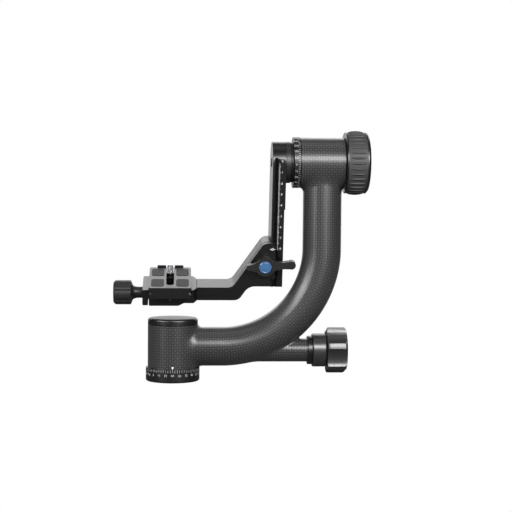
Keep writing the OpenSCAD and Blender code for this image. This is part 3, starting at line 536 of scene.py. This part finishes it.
for plan in softboxes:
    turn = math.radians(plan["turn"] - cameraPlan["yaw"])
    rise = math.radians(plan["rise"])
    away = Vector((math.sin(turn) * math.cos(rise), -math.cos(turn) * math.cos(rise), math.sin(rise)))
    data = bpy.data.lights.new(plan["name"], "AREA")
    data.shape = "RECTANGLE"
    data.size = plan["wide"]
    data.size_y = plan["tall"]
    data.energy = plan["glow"] * math.pi * plan["wide"] * plan["tall"]
    light = bpy.data.objects.new(plan["name"], data)
    facing = away.to_track_quat("Z", "Y").to_matrix().to_4x4()
    light.matrix_world = Matrix.Translation(lightMiddle + away * plan["away"]) @ facing
    light.visible_camera = False
    bpy.context.scene.collection.objects.link(light)

worldPlan = {"seen": 1.0, "fill": 0.03}


def makeWorld(p):
    # white to the camera, and a faint fill for the rest
    world = bpy.data.worlds.new("studio")
    bpy.context.scene.world = world
    world.use_nodes = True
    tree = world.node_tree
    fill = tree.nodes["Background"]
    seen = addNode(tree, "ShaderNodeBackground")
    for shader, strength in ((seen, p["seen"]), (fill, p["fill"])):
        shader.inputs["Color"].default_value = (1, 1, 1, 1)
        shader.inputs["Strength"].default_value = strength
    shownAs(tree, fill, seen, "World Output")


makeWorld(worldPlan)
bpy.context.scene.view_settings.view_transform = "Standard"
print("stage: camera, floor and", len(softboxes), "softboxes")

# Carbon arm: sleeve, lower tube, bend, upright, cross tube and branch laid up as one
armPlan = {"sleeve": 22.3, "tube": 17.35, "cross": 22.4, "branch": 10.4, "tubeZ": 30.25, "bendX": 44.2,
           "bendZ": 119.25, "bend": 89.0, "reach": 133.2, "low": 12.2, "high": 50.0, "crossIn": 112.5,
           "crossOut": 151.8, "branchOut": 120.64, "wall": 2.4, "fillet": 4.5, "branchFillet": 1.6,
           "voxel": 0.9, "over": 3.5, "tow": 2.3, "rounds": (62, 48, 62, 28)}
# past these a tube's surface no longer counts
armZones = {"sleeveTop": 70, "branchTop": 70, "crossLow": 150, "crossLeft": 60}
# the ends: which faces a cut takes, where it goes and which side is thrown away
armEnds = [
    {"zBelow": 20, "cut": (0, 0, armPlan["low"]), "away": (0, 0, -1)},
    {"xBelow": 28, "zAbove": 44, "cut": (0, 0, armPlan["high"]), "away": (0, 0, 1)},
    {"xBelow": 118, "zAbove": 160, "cut": (armPlan["crossIn"], 0, 0), "away": (-1, 0, 0)},
    {"xAbove": 145, "cut": (armPlan["crossOut"], 0, 0), "away": (1, 0, 0)},
    {"xAbove": 116, "zBelow": 41, "cut": (armPlan["branchOut"], 0, 0), "away": (1, 0, 0)}]
armBores = [
    {"tube": "sleeve", "start": (0, 0, 0), "end": (0, 0, 60), "sides": 96},
    {"tube": "cross", "start": (100, 0, tilt["height"]), "end": (160, 0, tilt["height"]), "sides": 96},
    {"tube": "branch", "start": (40, 0, branchZ), "end": (130, 0, branchZ), "sides": 64}]
settlePlan = {"passes": 6, "step": 0.02, "leastSlope": 0.2}
perMetre = 1000
far = 1000.0


def readAll(items, field, wide=1, kind=float):
    values = np.empty(len(items) * wide, dtype=kind)
    items.foreach_get(field, values)
    return values.reshape(-1, wide) if wide > 1 else values


def armSpans(p):
    # how far each point is from each tube's surface
    a = armPlan
    zones = armZones
    high = tilt["height"]
    x, y, z = p[:, 0], p[:, 1], p[:, 2]
    sleeve = np.hypot(x, y) - a["sleeve"]
    low = np.hypot(y, z - a["tubeZ"]) - a["tube"]
    low = np.where(x < 0, np.maximum(low, -x), low)
    knee = np.hypot(np.hypot(x - a["bendX"], z - a["bendZ"]) - a["bend"], y) - a["tube"]
    up = np.hypot(x - a["reach"], y) - a["tube"]
    up = np.where(z > high, np.maximum(up, z - high), up)
    tube = np.where(z > a["bendZ"], up, np.where(x < a["bendX"], low, knee))
    cross = np.hypot(y, z - high) - a["cross"]
    branch = np.hypot(y, z - branchZ) - a["branch"]
    branch = np.where(x < a["bendX"], np.maximum(branch, a["bendX"] - x), branch)
    sleeve = np.where(z > zones["sleeveTop"], far, sleeve)
    cross = np.where((z < zones["crossLow"]) | (x < zones["crossLeft"]), far, cross)
    branch = np.where(z > zones["branchTop"], far, branch)
    return sleeve, tube, cross, branch


def blended(a, b, k):
    h = np.maximum(k - np.abs(a - b), 0) / k
    return np.minimum(a, b) - h * h * k / 4


def armSkin(p):
    sleeve, tube, cross, branch = armSpans(p)
    k = armPlan["fillet"]
    return blended(blended(blended(tube, sleeve, k), cross, k), branch, armPlan["branchFillet"])


def settled(piece, plan):
    # moves each point onto the filleted skin
    p = readAll(piece.data.vertices, "co", 3) * perMetre
    step = plan["step"]
    for turn in range(plan["passes"]):
        slope = np.stack([(armSkin(p + move) - armSkin(p - move)) / (2 * step)
                          for move in np.eye(3) * step], axis=1)
        size = np.maximum((slope ** 2).sum(1, keepdims=True), plan["leastSlope"])
        p = p - slope / size * armSkin(p)[:, None]
    piece.data.vertices.foreach_set("co", (p * mm).ravel())
    piece.data.update()


def trimmed(piece, end):
    pickFaces(piece, lambda c, n: (end.get("xAbove", -far) < c.x < end.get("xBelow", far)
                                   and end.get("zAbove", -far) < c.z < end.get("zBelow", far)))
    bpy.ops.mesh.bisect(plane_co=Vector(end["cut"]) * mm, plane_no=end["away"], use_fill=True,
                        clear_outer=True)
    closeEdit()


def quarterBend(a):
    # a ring of tube with three quarters of it sawn off
    clearPick()
    middle = Vector((a["bendX"], 0, a["bendZ"])) * mm
    bpy.ops.mesh.primitive_torus_add(
        major_radius=a["bend"] * mm, minor_radius=a["tube"] * mm, major_segments=240, minor_segments=96,
        location=middle, rotation=(math.pi / 2, 0, 0))
    knee = bpy.context.object
    bpy.ops.object.transform_apply(location=True, rotation=True, scale=True)
    for way in ((-1, 0, 0), (0, 0, 1)):
        openEdit(knee)
        bpy.ops.mesh.bisect(plane_co=middle, plane_no=way, use_fill=True, clear_outer=True)
        closeEdit()
    return tidied(knee)


def makeArm(a):
    over = a["over"]
    high = tilt["height"]
    arm = rod("carbonArm", (0, 0, a["low"] - over), (0, 0, a["high"] + over), a["sleeve"], 96)
    parts = [rod("low", (0, 0, a["tubeZ"]), (a["bendX"] + 0.5, 0, a["tubeZ"]), a["tube"], 96),
             rod("up", (a["reach"], 0, a["bendZ"] - 0.5), (a["reach"], 0, high), a["tube"], 96),
             rod("cross", (a["crossIn"] - over, 0, high), (a["crossOut"] + over, 0, high), a["cross"], 96),
             rod("branch", (a["bendX"], 0, branchZ), (a["branchOut"] + over, 0, branchZ), a["branch"], 96)]
    joined(arm, quarterBend(a), *parts)
    applied(arm, "REMESH", mode="VOXEL", voxel_size=a["voxel"] * mm)
    settled(arm, settlePlan)
    for end in armEnds:
        trimmed(arm, end)
    cut(arm, *[rod("bore", bore["start"], bore["end"], a[bore["tube"]] - a["wall"], bore["sides"])
               for bore in armBores])
    mapWeave(arm, a)
    take(arm)
    bpy.ops.object.shade_smooth_by_angle(angle=math.radians(40))
    return arm


def unrolled(p, a):
    # each point's angle round and place along the sleeve, the bent tube, the cross tube and the branch
    x, y, z = p[:, 0], p[:, 1], p[:, 2]
    phi = np.arctan2(x - a["bendX"], a["bendZ"] - z)
    away = np.hypot(x - a["bendX"], z - a["bendZ"]) - a["bend"]
    inUp = z > a["bendZ"]
    inBend = (x >= a["bendX"]) & (z <= a["bendZ"])
    angleTube = np.where(inUp, np.arctan2(x - a["reach"], -y),
                         np.where(inBend, np.arctan2(away, -y), np.arctan2(a["tubeZ"] - z, -y)))
    alongTube = np.where(inUp, a["bendX"] + a["bend"] * math.pi / 2 + z - a["bendZ"],
                         np.where(inBend, a["bendX"] + a["bend"] * phi, x))
    angles = np.stack([np.arctan2(x, -y), angleTube, np.arctan2(tilt["height"] - z, -y),
                       np.arctan2(branchZ - z, -y)])
    return angles, np.stack([z, alongTube, x, x])


def mapWeave(piece, a):
    # one unit of the map is one tow, and the seam runs along the back of each tube
    mesh = piece.data
    while mesh.uv_layers:
        mesh.uv_layers.remove(mesh.uv_layers[0])
    layer = mesh.uv_layers.new(name="weave")
    points = readAll(mesh.vertices, "co", 3) * perMetre
    centres = readAll(mesh.polygons, "center", 3) * perMetre
    zone = np.argmin(np.stack(armSpans(centres)), axis=0)
    starts = readAll(mesh.polygons, "loop_start", kind=int)
    totals = readAll(mesh.polygons, "loop_total", kind=int)
    corner = readAll(mesh.loops, "vertex_index", kind=int)
    order = np.concatenate([np.arange(s, s + t) for s, t in zip(starts, totals)])
    faceOf = np.empty(len(mesh.loops), dtype=int)
    faceOf[order] = np.repeat(np.arange(len(starts)), totals)
    zoneOf = zone[faceOf]
    middle = unrolled(centres, a)[0][zoneOf, faceOf]
    angles, along = unrolled(points, a)
    angle = middle + np.mod(angles[zoneOf, corner] - middle + math.pi, math.tau) - math.pi
    u = angle / math.tau * np.array(a["rounds"])[zoneOf] + 0.5
    v = along[zoneOf, corner] / a["tow"]
    layer.data.foreach_set("uv", np.stack([u, v], axis=1).ravel())


carbonArm = finished(makeArm(armPlan), "arm", ["carbon_arm"], "carbon")
print("stage: carbon arm", len(carbonArm.data.polygons))

# Base: cap, dial ring and its scale
capPlan = {"radius": 22.3, "low": 50.0, "top": 56.0, "edge": 2.2, "seat": 15.5, "seatLow": 47, "bore": 13.4,
           "roof": 50.6}


def makeCap(p):
    low = p["low"] + 0.02
    return lathed("baseCap", [
        (0, p["roof"], 0), (p["bore"], p["roof"], 0), (p["bore"], p["seatLow"], 0),
        (p["seat"], p["seatLow"], 0), (p["seat"], low, 0), (p["radius"] - 0.5, low, 0),
        (p["radius"], p["low"] + 0.45, 0.2), (p["radius"], p["top"], p["edge"]), (0, p["top"], 0)], steps=128)


finished(makeCap(capPlan), "arm", ["base_cap"], "blackAnodised")

ringPlan = {"outer": 24.0, "inner": 19.5, "height": 12.0, "chamfer": 1.0}


def makeDialRing(p):
    return lathed("dialRing", [
        (p["inner"], 0, 0), (p["outer"] - p["chamfer"], 0, 0.3), (p["outer"], p["chamfer"], 0.3),
        (p["outer"], p["height"], 0.12), (p["inner"], p["height"], 0.1), (p["inner"], 0, 0)], steps=144)


finished(makeDialRing(ringPlan), "base", ["dial_ring"], "ringBlack")
print("stage: base")

# Scales: figures and lines a few hundredths proud of the surface, and the figures a little bolder
markDeep = 0.04
markBold = 0.02


def figure(words, size):
    clearPick()
    bpy.ops.object.text_add(location=(0, 0, 0))
    piece = bpy.context.object
    piece.data.body = words
    piece.data.size = size * mm
    piece.data.align_x = "CENTER"
    piece.data.align_y = "CENTER"
    piece.data.resolution_u = 2
    piece.data.extrude = markDeep * mm
    piece.data.offset = markBold * mm
    take(piece)
    bpy.ops.object.convert(target="MESH")
    piece = bpy.context.object
    openEdit(piece)
    bpy.ops.mesh.remove_doubles(threshold=nearDrawn)
    closeEdit()
    return piece


def line(wide, tall):
    # one scale line, standing on its middle, in the same plane as the figures
    clearPick()
    bpy.ops.mesh.primitive_cube_add(size=mm)
    piece = bpy.context.object
    piece.scale = (wide, tall, 2 * markDeep)
    bpy.ops.object.transform_apply(location=True, rotation=True, scale=True)
    return piece


def wrapped(piece, radius, upAxis):
    # bends a flat mark round a drum: its x becomes the way round, its y the way along
    r = radius * mm
    for point in piece.data.vertices:
        x, y, z = point.co
        t = x / r
        out = r + z
        if upAxis == "Z":
            point.co = (out * math.sin(t), -out * math.cos(t), y)
        else:
            point.co = (y, -out * math.cos(t), -out * math.sin(t))
    piece.data.update()
    return piece


def makeRoundScale(name, p, axis, where):
    # figures every 15 degrees and lines every 5, round a drum
    along = Vector((1, 0, 0)) if axis == "X" else Vector((0, 0, 1))

    def at(place, degree):
        turn = Matrix.Rotation(math.radians(degree + p["turn"]), 4, axis)
        return where @ Matrix.Translation(along * (place * mm)) @ turn

    marks = []
    for degree in range(0, 360, 15):
        label = figure(str(degree), p["figure"])
        if axis == "X":
            placed(label, Matrix.Rotation(math.pi / 2, 4, "Z"))
        marks.append(placed(wrapped(label, p["radius"], axis), at(p["figureAt"], degree)))
    tick = wrapped(line(p["wide"], p["long"]), p["radius"], axis)
    marks.append(repeated(tick, [at(p["lineAt"], degree) for degree in range(0, 360, 5)]))
    scale = joined(*marks)
    scale.name = name
    return scale


panScalePlan = {"radius": 24.0, "turn": -45, "figure": 2.9, "figureAt": 6.6, "lineAt": 10.375, "long": 2.55,
                "wide": 0.3}
panScale = makeRoundScale("panScale", panScalePlan, "Z", Matrix.Identity(4))
finished(panScale, "base", [], "greyPaint")

panIndexPlan = {"half": 1.25, "top": 14.3, "tip": 12.05, "radius": 22.34, "proud": 0.08}


def makeIndex(p):
    # the white triangle at the foot of the sleeve
    outline = [(-p["half"], p["top"]), (p["half"], p["top"]), (0, p["tip"])]
    piece = sawn("panIndex", outline, "XZ", 0, p["proud"])
    for point in piece.data.vertices:
        x, y, z = point.co
        point.co = (x, y - math.sqrt((p["radius"] * mm) ** 2 - x * x), z)
    return piece


finished(makeIndex(panIndexPlan), "arm", [], "whitePaint")

tiltRingPlan = {"radius": 22.7, "bore": 12.0, "left": 106.2, "right": 112.5, "lip": 0.9}


def makeTiltRing(p):
    r = p["radius"]
    left = p["left"]
    right = p["right"]
    ring = lathed("tiltRing", [
        (p["bore"], left, 0), (r, left, 0.45), (r, right - 0.55, 0.2), (r - p["lip"], right - 0.4, 0.1),
        (r - p["lip"], right, 0), (p["bore"], right, 0)], "X", 128)
    return placed(ring, onTilt)


finished(makeTiltRing(tiltRingPlan), "arm", ["tilt_ring"], "ringBlack")

tiltScalePlan = {"radius": tiltRingPlan["radius"], "turn": 6.4, "figure": 2.7, "figureAt": 107.95,
                 "lineAt": 110.75, "long": 1.7, "wide": 0.28}
tiltScale = makeRoundScale("tiltScale", tiltScalePlan, "X", onTilt)
finished(tiltScale, "arm", [], "greyPaint")
print("stage: scales")

# Swing arm, with its flange and end cap
swingPlan = {"left": 87.4, "right": 99.4, "half": 18.4, "drop": 111.4, "foot": 1.2, "grooveX": 91.4,
             "groove": 2.0, "grooveTop": 12.0, "step": 0.8, "stepDrop": 39.1, "edge": 0.55, "seat": 7.0,
             "seatDeep": 6}


def makeSwingArm(p):
    h = p["half"]
    drop = p["drop"]
    arc = [(h * math.cos(math.radians(a)), h * math.sin(math.radians(a))) for a in range(0, 181, 4)]
    foot = rounded([(-h, 0, 0), (-h, -drop, p["foot"]), (h, -drop, p["foot"]), (h, 0, 0)])
    arm = sawn("swingArm", arc + foot[1:-1], "YZ", p["left"], p["right"])
    cut(arm, sawn("step", oblong(-30, -p["stepDrop"], 30, -drop - 5), "YZ", p["right"] - p["step"],
                  p["right"] + 5))
    softened(arm, p["edge"], 3)
    for side in (-1, 1):
        # the vee runs straight out through the round top, so it ends in a point
        g = p["groove"]
        x = p["grooveX"]
        edge = side * h
        vee = [(x - g - 1, edge + side), (x, edge - side * g), (x + g + 1, edge + side)]
        cut(arm, sawn("vee", vee, "XY", -drop - 3, p["grooveTop"]))
    cut(arm, rod("seat", (p["left"] - 1, 0, 0), (p["left"] + p["seatDeep"], 0, 0), p["seat"]))
    return placed(shaded(arm, 28), onSwing)


finished(makeSwingArm(swingPlan), "swing", ["swing_arm"], "blackAnodised")

flangePlan = {"radius": 18.4, "bore": 9.0, "left": 99.4, "right": 106.0, "rim": 4.4, "ease": 0.5, "lip": 0.7}


def makeHubFlange(p):
    r = p["radius"]
    left = p["left"]
    right = p["right"]
    rim = left + p["rim"]
    flange = lathed("hubFlange", [
        (p["bore"], left, 0), (r, left, 0.3), (r, rim, 0.5), (r - p["lip"], rim + p["ease"], 0.2),
        (r - p["lip"], right, 0.2), (p["bore"], right, 0)], "X", 128)
    return placed(flange, onTilt)


finished(makeHubFlange(flangePlan), "swing", ["hub_flange"], "greyAnodised")

endCapPlan = {"left": 87.4, "radius": 7.0, "deep": 2, "boss": 3.8, "proud": 0.8}


def makeEndCap(p):
    r = p["radius"] - 0.02
    deep = p["left"] + p["deep"]
    face = p["left"] + 0.02
    top = p["left"] - p["proud"]
    cap = lathed("shaftCap", [
        (0, deep, 0), (r, deep, 0), (r, face, 0.4), (p["boss"] + 0.6, face, 0.2), (p["boss"], top, 0.4),
        (0, top, 0)], "X")
    return placed(cap, onTilt)


finished(makeEndCap(endCapPlan), "swing", ["shaft_cap"], "blackAnodised")

heightScalePlan = {"front": -18.4, "figureX": 95.8, "lineX": 92.75, "start": -5, "above": -4, "figure": 2.6,
                   "last": 8, "tall": 0.24, "short": 1.1, "long": 1.7}


def makeHeightScale(p):
    # a figure every 10 mm, a long line every 5 and a short one every 1
    def at(x, drop):
        place = Matrix.Translation((x * mm, p["front"] * mm, -drop * mm))
        return onSwing @ place @ Matrix.Rotation(math.pi / 2, 4, "X")

    marks = [placed(figure(str(k), p["figure"]), at(p["figureX"], p["start"] + 10 * k))
             for k in range(p["last"] + 1)]
    drops = [d for d in range(p["start"], p["start"] + 10 * p["last"] + 2) if d > p["above"]]
    for fifth, wide in ((False, p["short"]), (True, p["long"])):
        spots = [at(p["lineX"] + wide / 2, d) for d in drops if (d % 5 == 0) == fifth]
        marks.append(repeated(line(wide, p["tall"]), spots))
    scale = joined(*marks)
    scale.name = "heightScale"
    return scale


finished(makeHeightScale(heightScalePlan), "swing", [], "whitePaint")
print("stage: swing arm")

# Tilt knob: ribbed rubber on a turned core
tiltKnobPlan = {"left": 152.4, "length": 21.6, "radius": 28.6, "shoulder": 3.2, "back": 1.5, "grip": 4.1,
                "bore": 4.0, "boreEnd": 14, "socket": 8.6, "socketEnd": 5, "crown": 0.6}
ribPlan = {"count": 36, "high": 0.9, "phase": 0.3, "long": 7.6, "wide": 0.27, "deep": 2.0}


def makeKnobCore(p):
    x0 = p["left"]
    x1 = x0 + p["length"]
    r = p["radius"]
    seat = r - p["grip"]
    back = x0 + p["back"]
    near = x1 - p["shoulder"]
    core = lathed("tiltKnobCore", [
        (p["bore"], x0 + p["socketEnd"], 0), (p["socket"], x0 + p["socketEnd"], 0), (p["socket"], x0, 0.3),
        (r - 2.4, x0, 0.5), (r - 1.3, x0 + 0.5, 0.2), (r - 1.3, back, 0.1), (seat, back, 0), (seat, near, 0),
        (r - 1.3, near, 0.1), (r - 1.4, near + 1.1, 0.2), (r - 2.0, near + 1.4, 0.2),
        (r - 3.2, x1 - 0.6, 0.5), (r - 5.0, x1 - 0.12, 0.8), (r / 2, x1 - 0.05, 3), (0, x1, 0),
        (0, x0 + p["boreEnd"], 0), (p["bore"], x0 + p["boreEnd"], 0)], "X", 128)
    return placed(core, onTilt)


def makeKnobGrip(p, ribs):
    x0 = p["left"] + p["back"]
    x1 = p["left"] + p["length"] - p["shoulder"]
    top = p["radius"]
    seat = top - p["grip"]
    middle = (x0 + x1) / 2
    half = (x1 - x0) / 2
    crown = [(top - ribs["high"] - p["crown"] * (i / 8) ** 2, middle + half * i / 8) for i in range(-8, 9)]
    grip = turned("tiltKnobGrip", [(seat, x0)] + crown + [(seat, x1), (seat, x0)], "X", 144)
    # one rib is a long lens, sunk in the crown so that its ends run out flush
    wide = math.tau * top / ribs["count"]
    clearPick()
    bpy.ops.mesh.primitive_uv_sphere_add(segments=24, ring_count=12, radius=mm, location=(0, 0, 0))
    rib = bpy.context.object
    openEdit(rib)
    bpy.ops.transform.resize(value=(ribs["long"], wide * ribs["wide"], ribs["deep"]))
    bpy.ops.mesh.bisect(plane_co=(0, 0, 0), plane_no=(0, 0, -1), use_fill=True, clear_outer=True)
    bpy.ops.mesh.select_all(action="SELECT")
    bpy.ops.transform.translate(value=(0, 0, (top - ribs["deep"]) * mm))
    closeEdit()
    turns = [math.tau * (i + ribs["phase"]) / ribs["count"] for i in range(ribs["count"])]
    repeated(rib, [Matrix.Translation((middle * mm, 0, 0)) @ Matrix.Rotation(turn, 4, "X") for turn in turns])
    joined(grip, rib)
    return placed(shaded(grip), onTilt)


finished(makeKnobCore(tiltKnobPlan), "tilt_knob", ["tilt_knob_core"], "blackAnodised")
finished(makeKnobGrip(tiltKnobPlan, ribPlan), "tilt_knob", ["tilt_knob_grip"], "rubber")
print("stage: tilt knob")

# Pan lock: flange, collar and lobed knob
branchFlangePlan = {"left": armPlan["branchOut"], "thick": 4.2, "radius": 12.8, "bore": 2.6, "spigot": 7.9,
                    "spigotLong": 12}


def makeBranchFlange(p):
    x0 = p["left"]
    x1 = x0 + p["thick"]
    inner = x0 - p["spigotLong"]
    flange = lathed("branchFlange", [
        (p["bore"], inner, 0), (p["spigot"], inner, 0), (p["spigot"], x0, 0), (p["radius"], x0, 0.5),
        (p["radius"], x1, 0.5), (p["bore"], x1, 0)], "X")
    return placed(flange, onBranch)


collarPlan = {"left": 125.04, "long": 12.9, "radius": 14.9, "bore": 2.55, "lip": 1.4}


def makeCollar(p):
    x0 = p["left"]
    x1 = x0 + p["long"]
    r = p["radius"]
    collar = lathed("panKnobCollar", [
        (p["bore"], x0, 0), (r, x0, 1.0), (r, x1 - 1.6, 0.8), (r - p["lip"], x1, 0.3),
        (p["bore"], x1, 0)], "X")
    return placed(collar, onBranch)


lobedPlan = {"left": 137.94, "long": 17.8, "radius": 21.1, "rim": 1.7, "face": 5, "faceDeep": 2.8,
             "lobes": 6, "scallop": 14.0, "depth": 4.5, "turn": -15.5}


def makeLobedGrip(p):
    x0 = p["left"]
    x1 = x0 + p["long"]
    r = p["radius"]
    rim = p["rim"]
    left = [(r - rim + rim * math.sin(math.radians(15 * i)), x0 + rim * (1 - math.cos(math.radians(15 * i))))
            for i in range(7)]
    right = [(r - p["face"] * (1 - math.cos(math.radians(10 * i))),
              x1 - p["faceDeep"] * (1 - math.sin(math.radians(10 * i)))) for i in range(9)]
    grip = turned("panKnobGrip", [(0, x0)] + left + right + [(r * 0.4, x1 - 0.02), (0, x1)], "X", 120)
    fluted(grip, p["lobes"], r - p["depth"] + p["scallop"], p["scallop"], 72, x0 - 1, x1 + 1)
    softened(grip, 0.5, 3, 24)
    return placed(grip, onBranch @ Matrix.Rotation(math.radians(p["turn"]), 4, "X"))


finished(makeBranchFlange(branchFlangePlan), "arm", ["branch_flange"], "blackAnodised")
finished(makeCollar(collarPlan), "pan_knob", ["pan_knob_collar"], "glossyDark")
finished(makeLobedGrip(lobedPlan), "pan_knob", ["pan_knob_grip"], "glossyDark")
print("stage: pan lock")

# Cradle, jaws, clamp and plate: milled bars with broken edges
milled = [
    {"name": "cradle", "node": "cradle", "body": "cradle", "edge": 0.6},
    {"name": "frontJaw", "node": "front_jaw", "body": "front_jaw", "edge": 0.5},
    {"name": "rearJaw", "node": "rear_jaw", "body": "cradle", "edge": 0.4},
    {"name": "clampBody", "node": "clamp_body", "body": "cradle", "edge": 0.4},
    {"name": "clampJaw", "node": "clamp_jaw", "body": "clamp_jaw", "edge": 0.35},
    {"name": "quickPlate", "node": "quick_plate", "body": "plate", "edge": 0.35, "finish": "plateBlack",
     "slot": "grey_anodised"}]
seamPlan = {"back": -17.7, "near": 0.05, "facing": 0.99, "wider": 0.85}


def withSeam(jaw, p):
    # the jaw's back face is drawn forward, so that the seam along the slope shows
    across = onSwing.to_3x3() @ Vector((0, 1, 0))
    level = across.dot(onSwing.translation) / mm + p["back"]
    pickFaces(jaw, lambda c, n: n.dot(across) > p["facing"] and abs(c.dot(across) - level) < p["near"])
    bpy.ops.transform.translate(value=across * (-p["wider"] * mm))
    closeEdit()


for plan in milled:
    bar = fromNode(plan["name"], plan["node"])
    if plan["name"] == "frontJaw":
        withSeam(bar, seamPlan)
    softened(bar, plan["edge"], 2, 28)
    finished(bar, plan["body"], [plan["node"]], plan.get("finish", "blackAnodised"))
    print("stage:", plan["name"], len(bar.data.polygons))

# Lever with its button
wingLever = softened(fromNode("wingLever", "wing_lever"), 0.5, 3, 30)
finished(wingLever, "lever", ["wing_lever"], "greyAnodised")

buttonPlan = {"x": 82.0, "drop": 88.9, "front": -30.6, "radius": 5.6, "deep": 5.9, "proud": 1.2,
              "bevel": 0.55, "groove": 4.3, "grooveHalf": 0.35, "grooveDeep": 0.22}


def makeButton(p):
    top = p["deep"]
    r = p["radius"]
    g = p["groove"]
    piece = lathed("leverButton", [
        (0, 0, 0), (r, 0, 0), (r, top - 0.5, 0.12), (r - p["bevel"], top, 0.12),
        (g + p["grooveHalf"], top, 0), (g, top - p["grooveDeep"], 0), (g - p["grooveHalf"], top, 0),
        (0, top, 0)])
    pivot = onSwing @ Matrix.Translation((p["x"] * mm, 0, -p["drop"] * mm))
    seat = Matrix.Translation((0, (p["front"] - p["proud"] + p["deep"]) * mm, 0))
    return placed(piece, pivot @ seat @ Matrix.Rotation(math.pi / 2, 4, "X"))


finished(makeButton(buttonPlan), "button", ["lever_button"], "blueAnodised")

jawIndexPlan = {"x": 88.7, "drop": 74.5, "front": -22.8, "points": [(2.6, 1.4), (1.17, 0.77)], "dot": 0.6}


def makeJawIndex(p):
    # the white four-pointed mark at the height scale, with a dark dot in its middle
    corners = []
    for i in range(8):
        turn = math.radians(45 * i)
        across, up = p["points"][i % 2]
        corners.append((p["x"] + across * math.cos(turn), -p["drop"] + up * math.sin(turn)))
    front = p["front"]
    mark = sawn("jawIndex", corners, "XZ", front - markDeep, front + markDeep)
    cut(mark, rod("dot", (p["x"], front - 1, -p["drop"]), (p["x"], front + 1, -p["drop"]), p["dot"], 24))
    return placed(mark, onSwing)


finished(makeJawIndex(jawIndexPlan), "front_jaw", [], "whitePaint")
print("stage: lever")

# Clamp knob
clampKnobPlan = {"left": -53.9, "headEnd": -38.2, "neckEnd": -27.6, "radius": 11.1, "neck": 5.1,
                 "shoulder": 1.2, "flare": 3.2, "bell": 5.4, "drop": 119.4, "v": -10.0, "flutes": 8,
                 "flute": 3.0, "fluteOut": 2.2}


def makeClampKnob(p):
    r = p["radius"]
    left = p["left"]
    start = p["headEnd"] + p["shoulder"]
    bell = [(p["neck"] + p["flare"] * (1 - math.sin(math.radians(10 * i))),
             start + p["bell"] * (1 - math.cos(math.radians(10 * i)))) for i in range(10)]
    head = rounded([(0, left, 0), (r - 2.0, left, 0.4), (r, left + 2.0, 0.5), (r, p["headEnd"], 0)],
                   closed=False)
    neck = rounded([(p["neck"], start + p["bell"], 0), (p["neck"], p["neckEnd"], 0.5), (0, p["neckEnd"], 0)],
                   closed=False)
    knob = turned("clampKnob", head + bell + neck[1:], "X")
    fluted(knob, p["flutes"], r + p["fluteOut"], p["flute"], 40, left - 1, p["headEnd"] + p["bell"] + 1)
    softened(knob, 0.35, 3, 26)
    return placed(knob, onSwing @ Matrix.Translation((0, p["v"] * mm, -p["drop"] * mm)))


finished(makeClampKnob(clampKnobPlan), "clamp_knob", ["clamp_knob"], "greyAnodised")
print("stage: clamp knob")

# Pads, lips and camera stud
for i in range(1, 5):
    pad = softened(fromNode("pad" + str(i), "pad_" + str(i)), 0.2, 2, 40)
    finished(pad, "plate", ["pad_" + str(i)], "padRubber")
lips = softened(fromNode("plateLips", "plate_lips"), 0.25, 2, 40)
finished(lips, "plate", ["plate_lips"], "blackAnodised")

studPlan = {"x": -2.7, "v": 5.7, "threadLow": 106.2, "threadTop": 97.9, "radius": 3.175, "pitch": 1.27,
            "thread": 0.55, "neck": 2.6, "headLow": 114.1, "head": 5.0, "headR": 6.9, "slotHalf": 0.8,
            "slotDeep": 2.4, "washerTop": 108.2, "washer": 0.8}
onStud = onSwing @ Matrix.Translation((studPlan["x"] * mm, studPlan["v"] * mm, 0))


def makeStud(p):
    low = -p["threadLow"]
    top = -p["threadTop"]
    root = p["radius"] - p["thread"]
    profile = [(0, low), (root, low)]
    z = low
    while z < top - p["pitch"] * 0.8:
        profile += [(root, z + 0.1), (p["radius"], z + p["pitch"] * 0.42),
                    (p["radius"], z + p["pitch"] * 0.58), (root, z + p["pitch"] * 0.9)]
        z += p["pitch"]
    profile += [(root, top - 0.4), (p["radius"] - 1.1, top), (0, top)]
    return placed(shaded(turned("cameraStud", profile, "Z", 64), 30), onStud)


def makeScrewHead(p):
    # the neck and the slotted head, which slide under the plate's slot
    low = -p["headLow"]
    high = low + p["head"]
    neckTop = -p["threadLow"]
    profile = rounded([
        (0, low, 0), (p["headR"], low, 0.4), (p["headR"], high, 0.3), (p["neck"], high, 0.2),
        (p["neck"], neckTop, 0), (0, neckTop, 0)], closed=False)
    piece = turned("cameraScrewHead", profile, "Z", 72)
    r = p["headR"] + 1
    half = p["slotHalf"]
    cut(piece, sawn("coinSlot", oblong(-r, -half, r, half), "XY", low - 1, low + p["slotDeep"]))
    return placed(shaded(piece), onStud)


def makeWasher(p):
    inner = p["neck"] + 0.25
    outer = p["headR"] - 0.2
    top = -p["washerTop"]
    low = top - p["washer"]
    washer = lathed("screwWasher", [(inner, low, 0), (outer, low, 0.15), (outer, top, 0.2), (inner, top, 0)],
                    steps=72)
    return placed(washer, onStud)


finished(makeStud(studPlan), "camera_screw", ["camera_screw"], "steel")
finished(makeScrewHead(studPlan), "camera_screw", [], "blackAnodised")
finished(makeWasher(studPlan), "screw_carriage", ["screw_washer"], "blackAnodised")
print("stage: plate fittings")

# Finishes for the solids that stay
slotFinish = {"black_anodised": "blackAnodised", "grey_anodised": "greyAnodised", "carbon": "carbon",
              "steel": "steel", "brass": "brass", "rubber": "rubber", "blue_anodised": "blueAnodised"}
for entry in frame["record"]["subparts"]:
    node = frame["nodes"][entry["node"]]
    finish = finishes[slotFinish[entry["material_slot"]]]
    if node.material_slots:
        for place in node.material_slots:
            place.material = finish
    else:
        node.data.materials.append(finish)

clearPick()
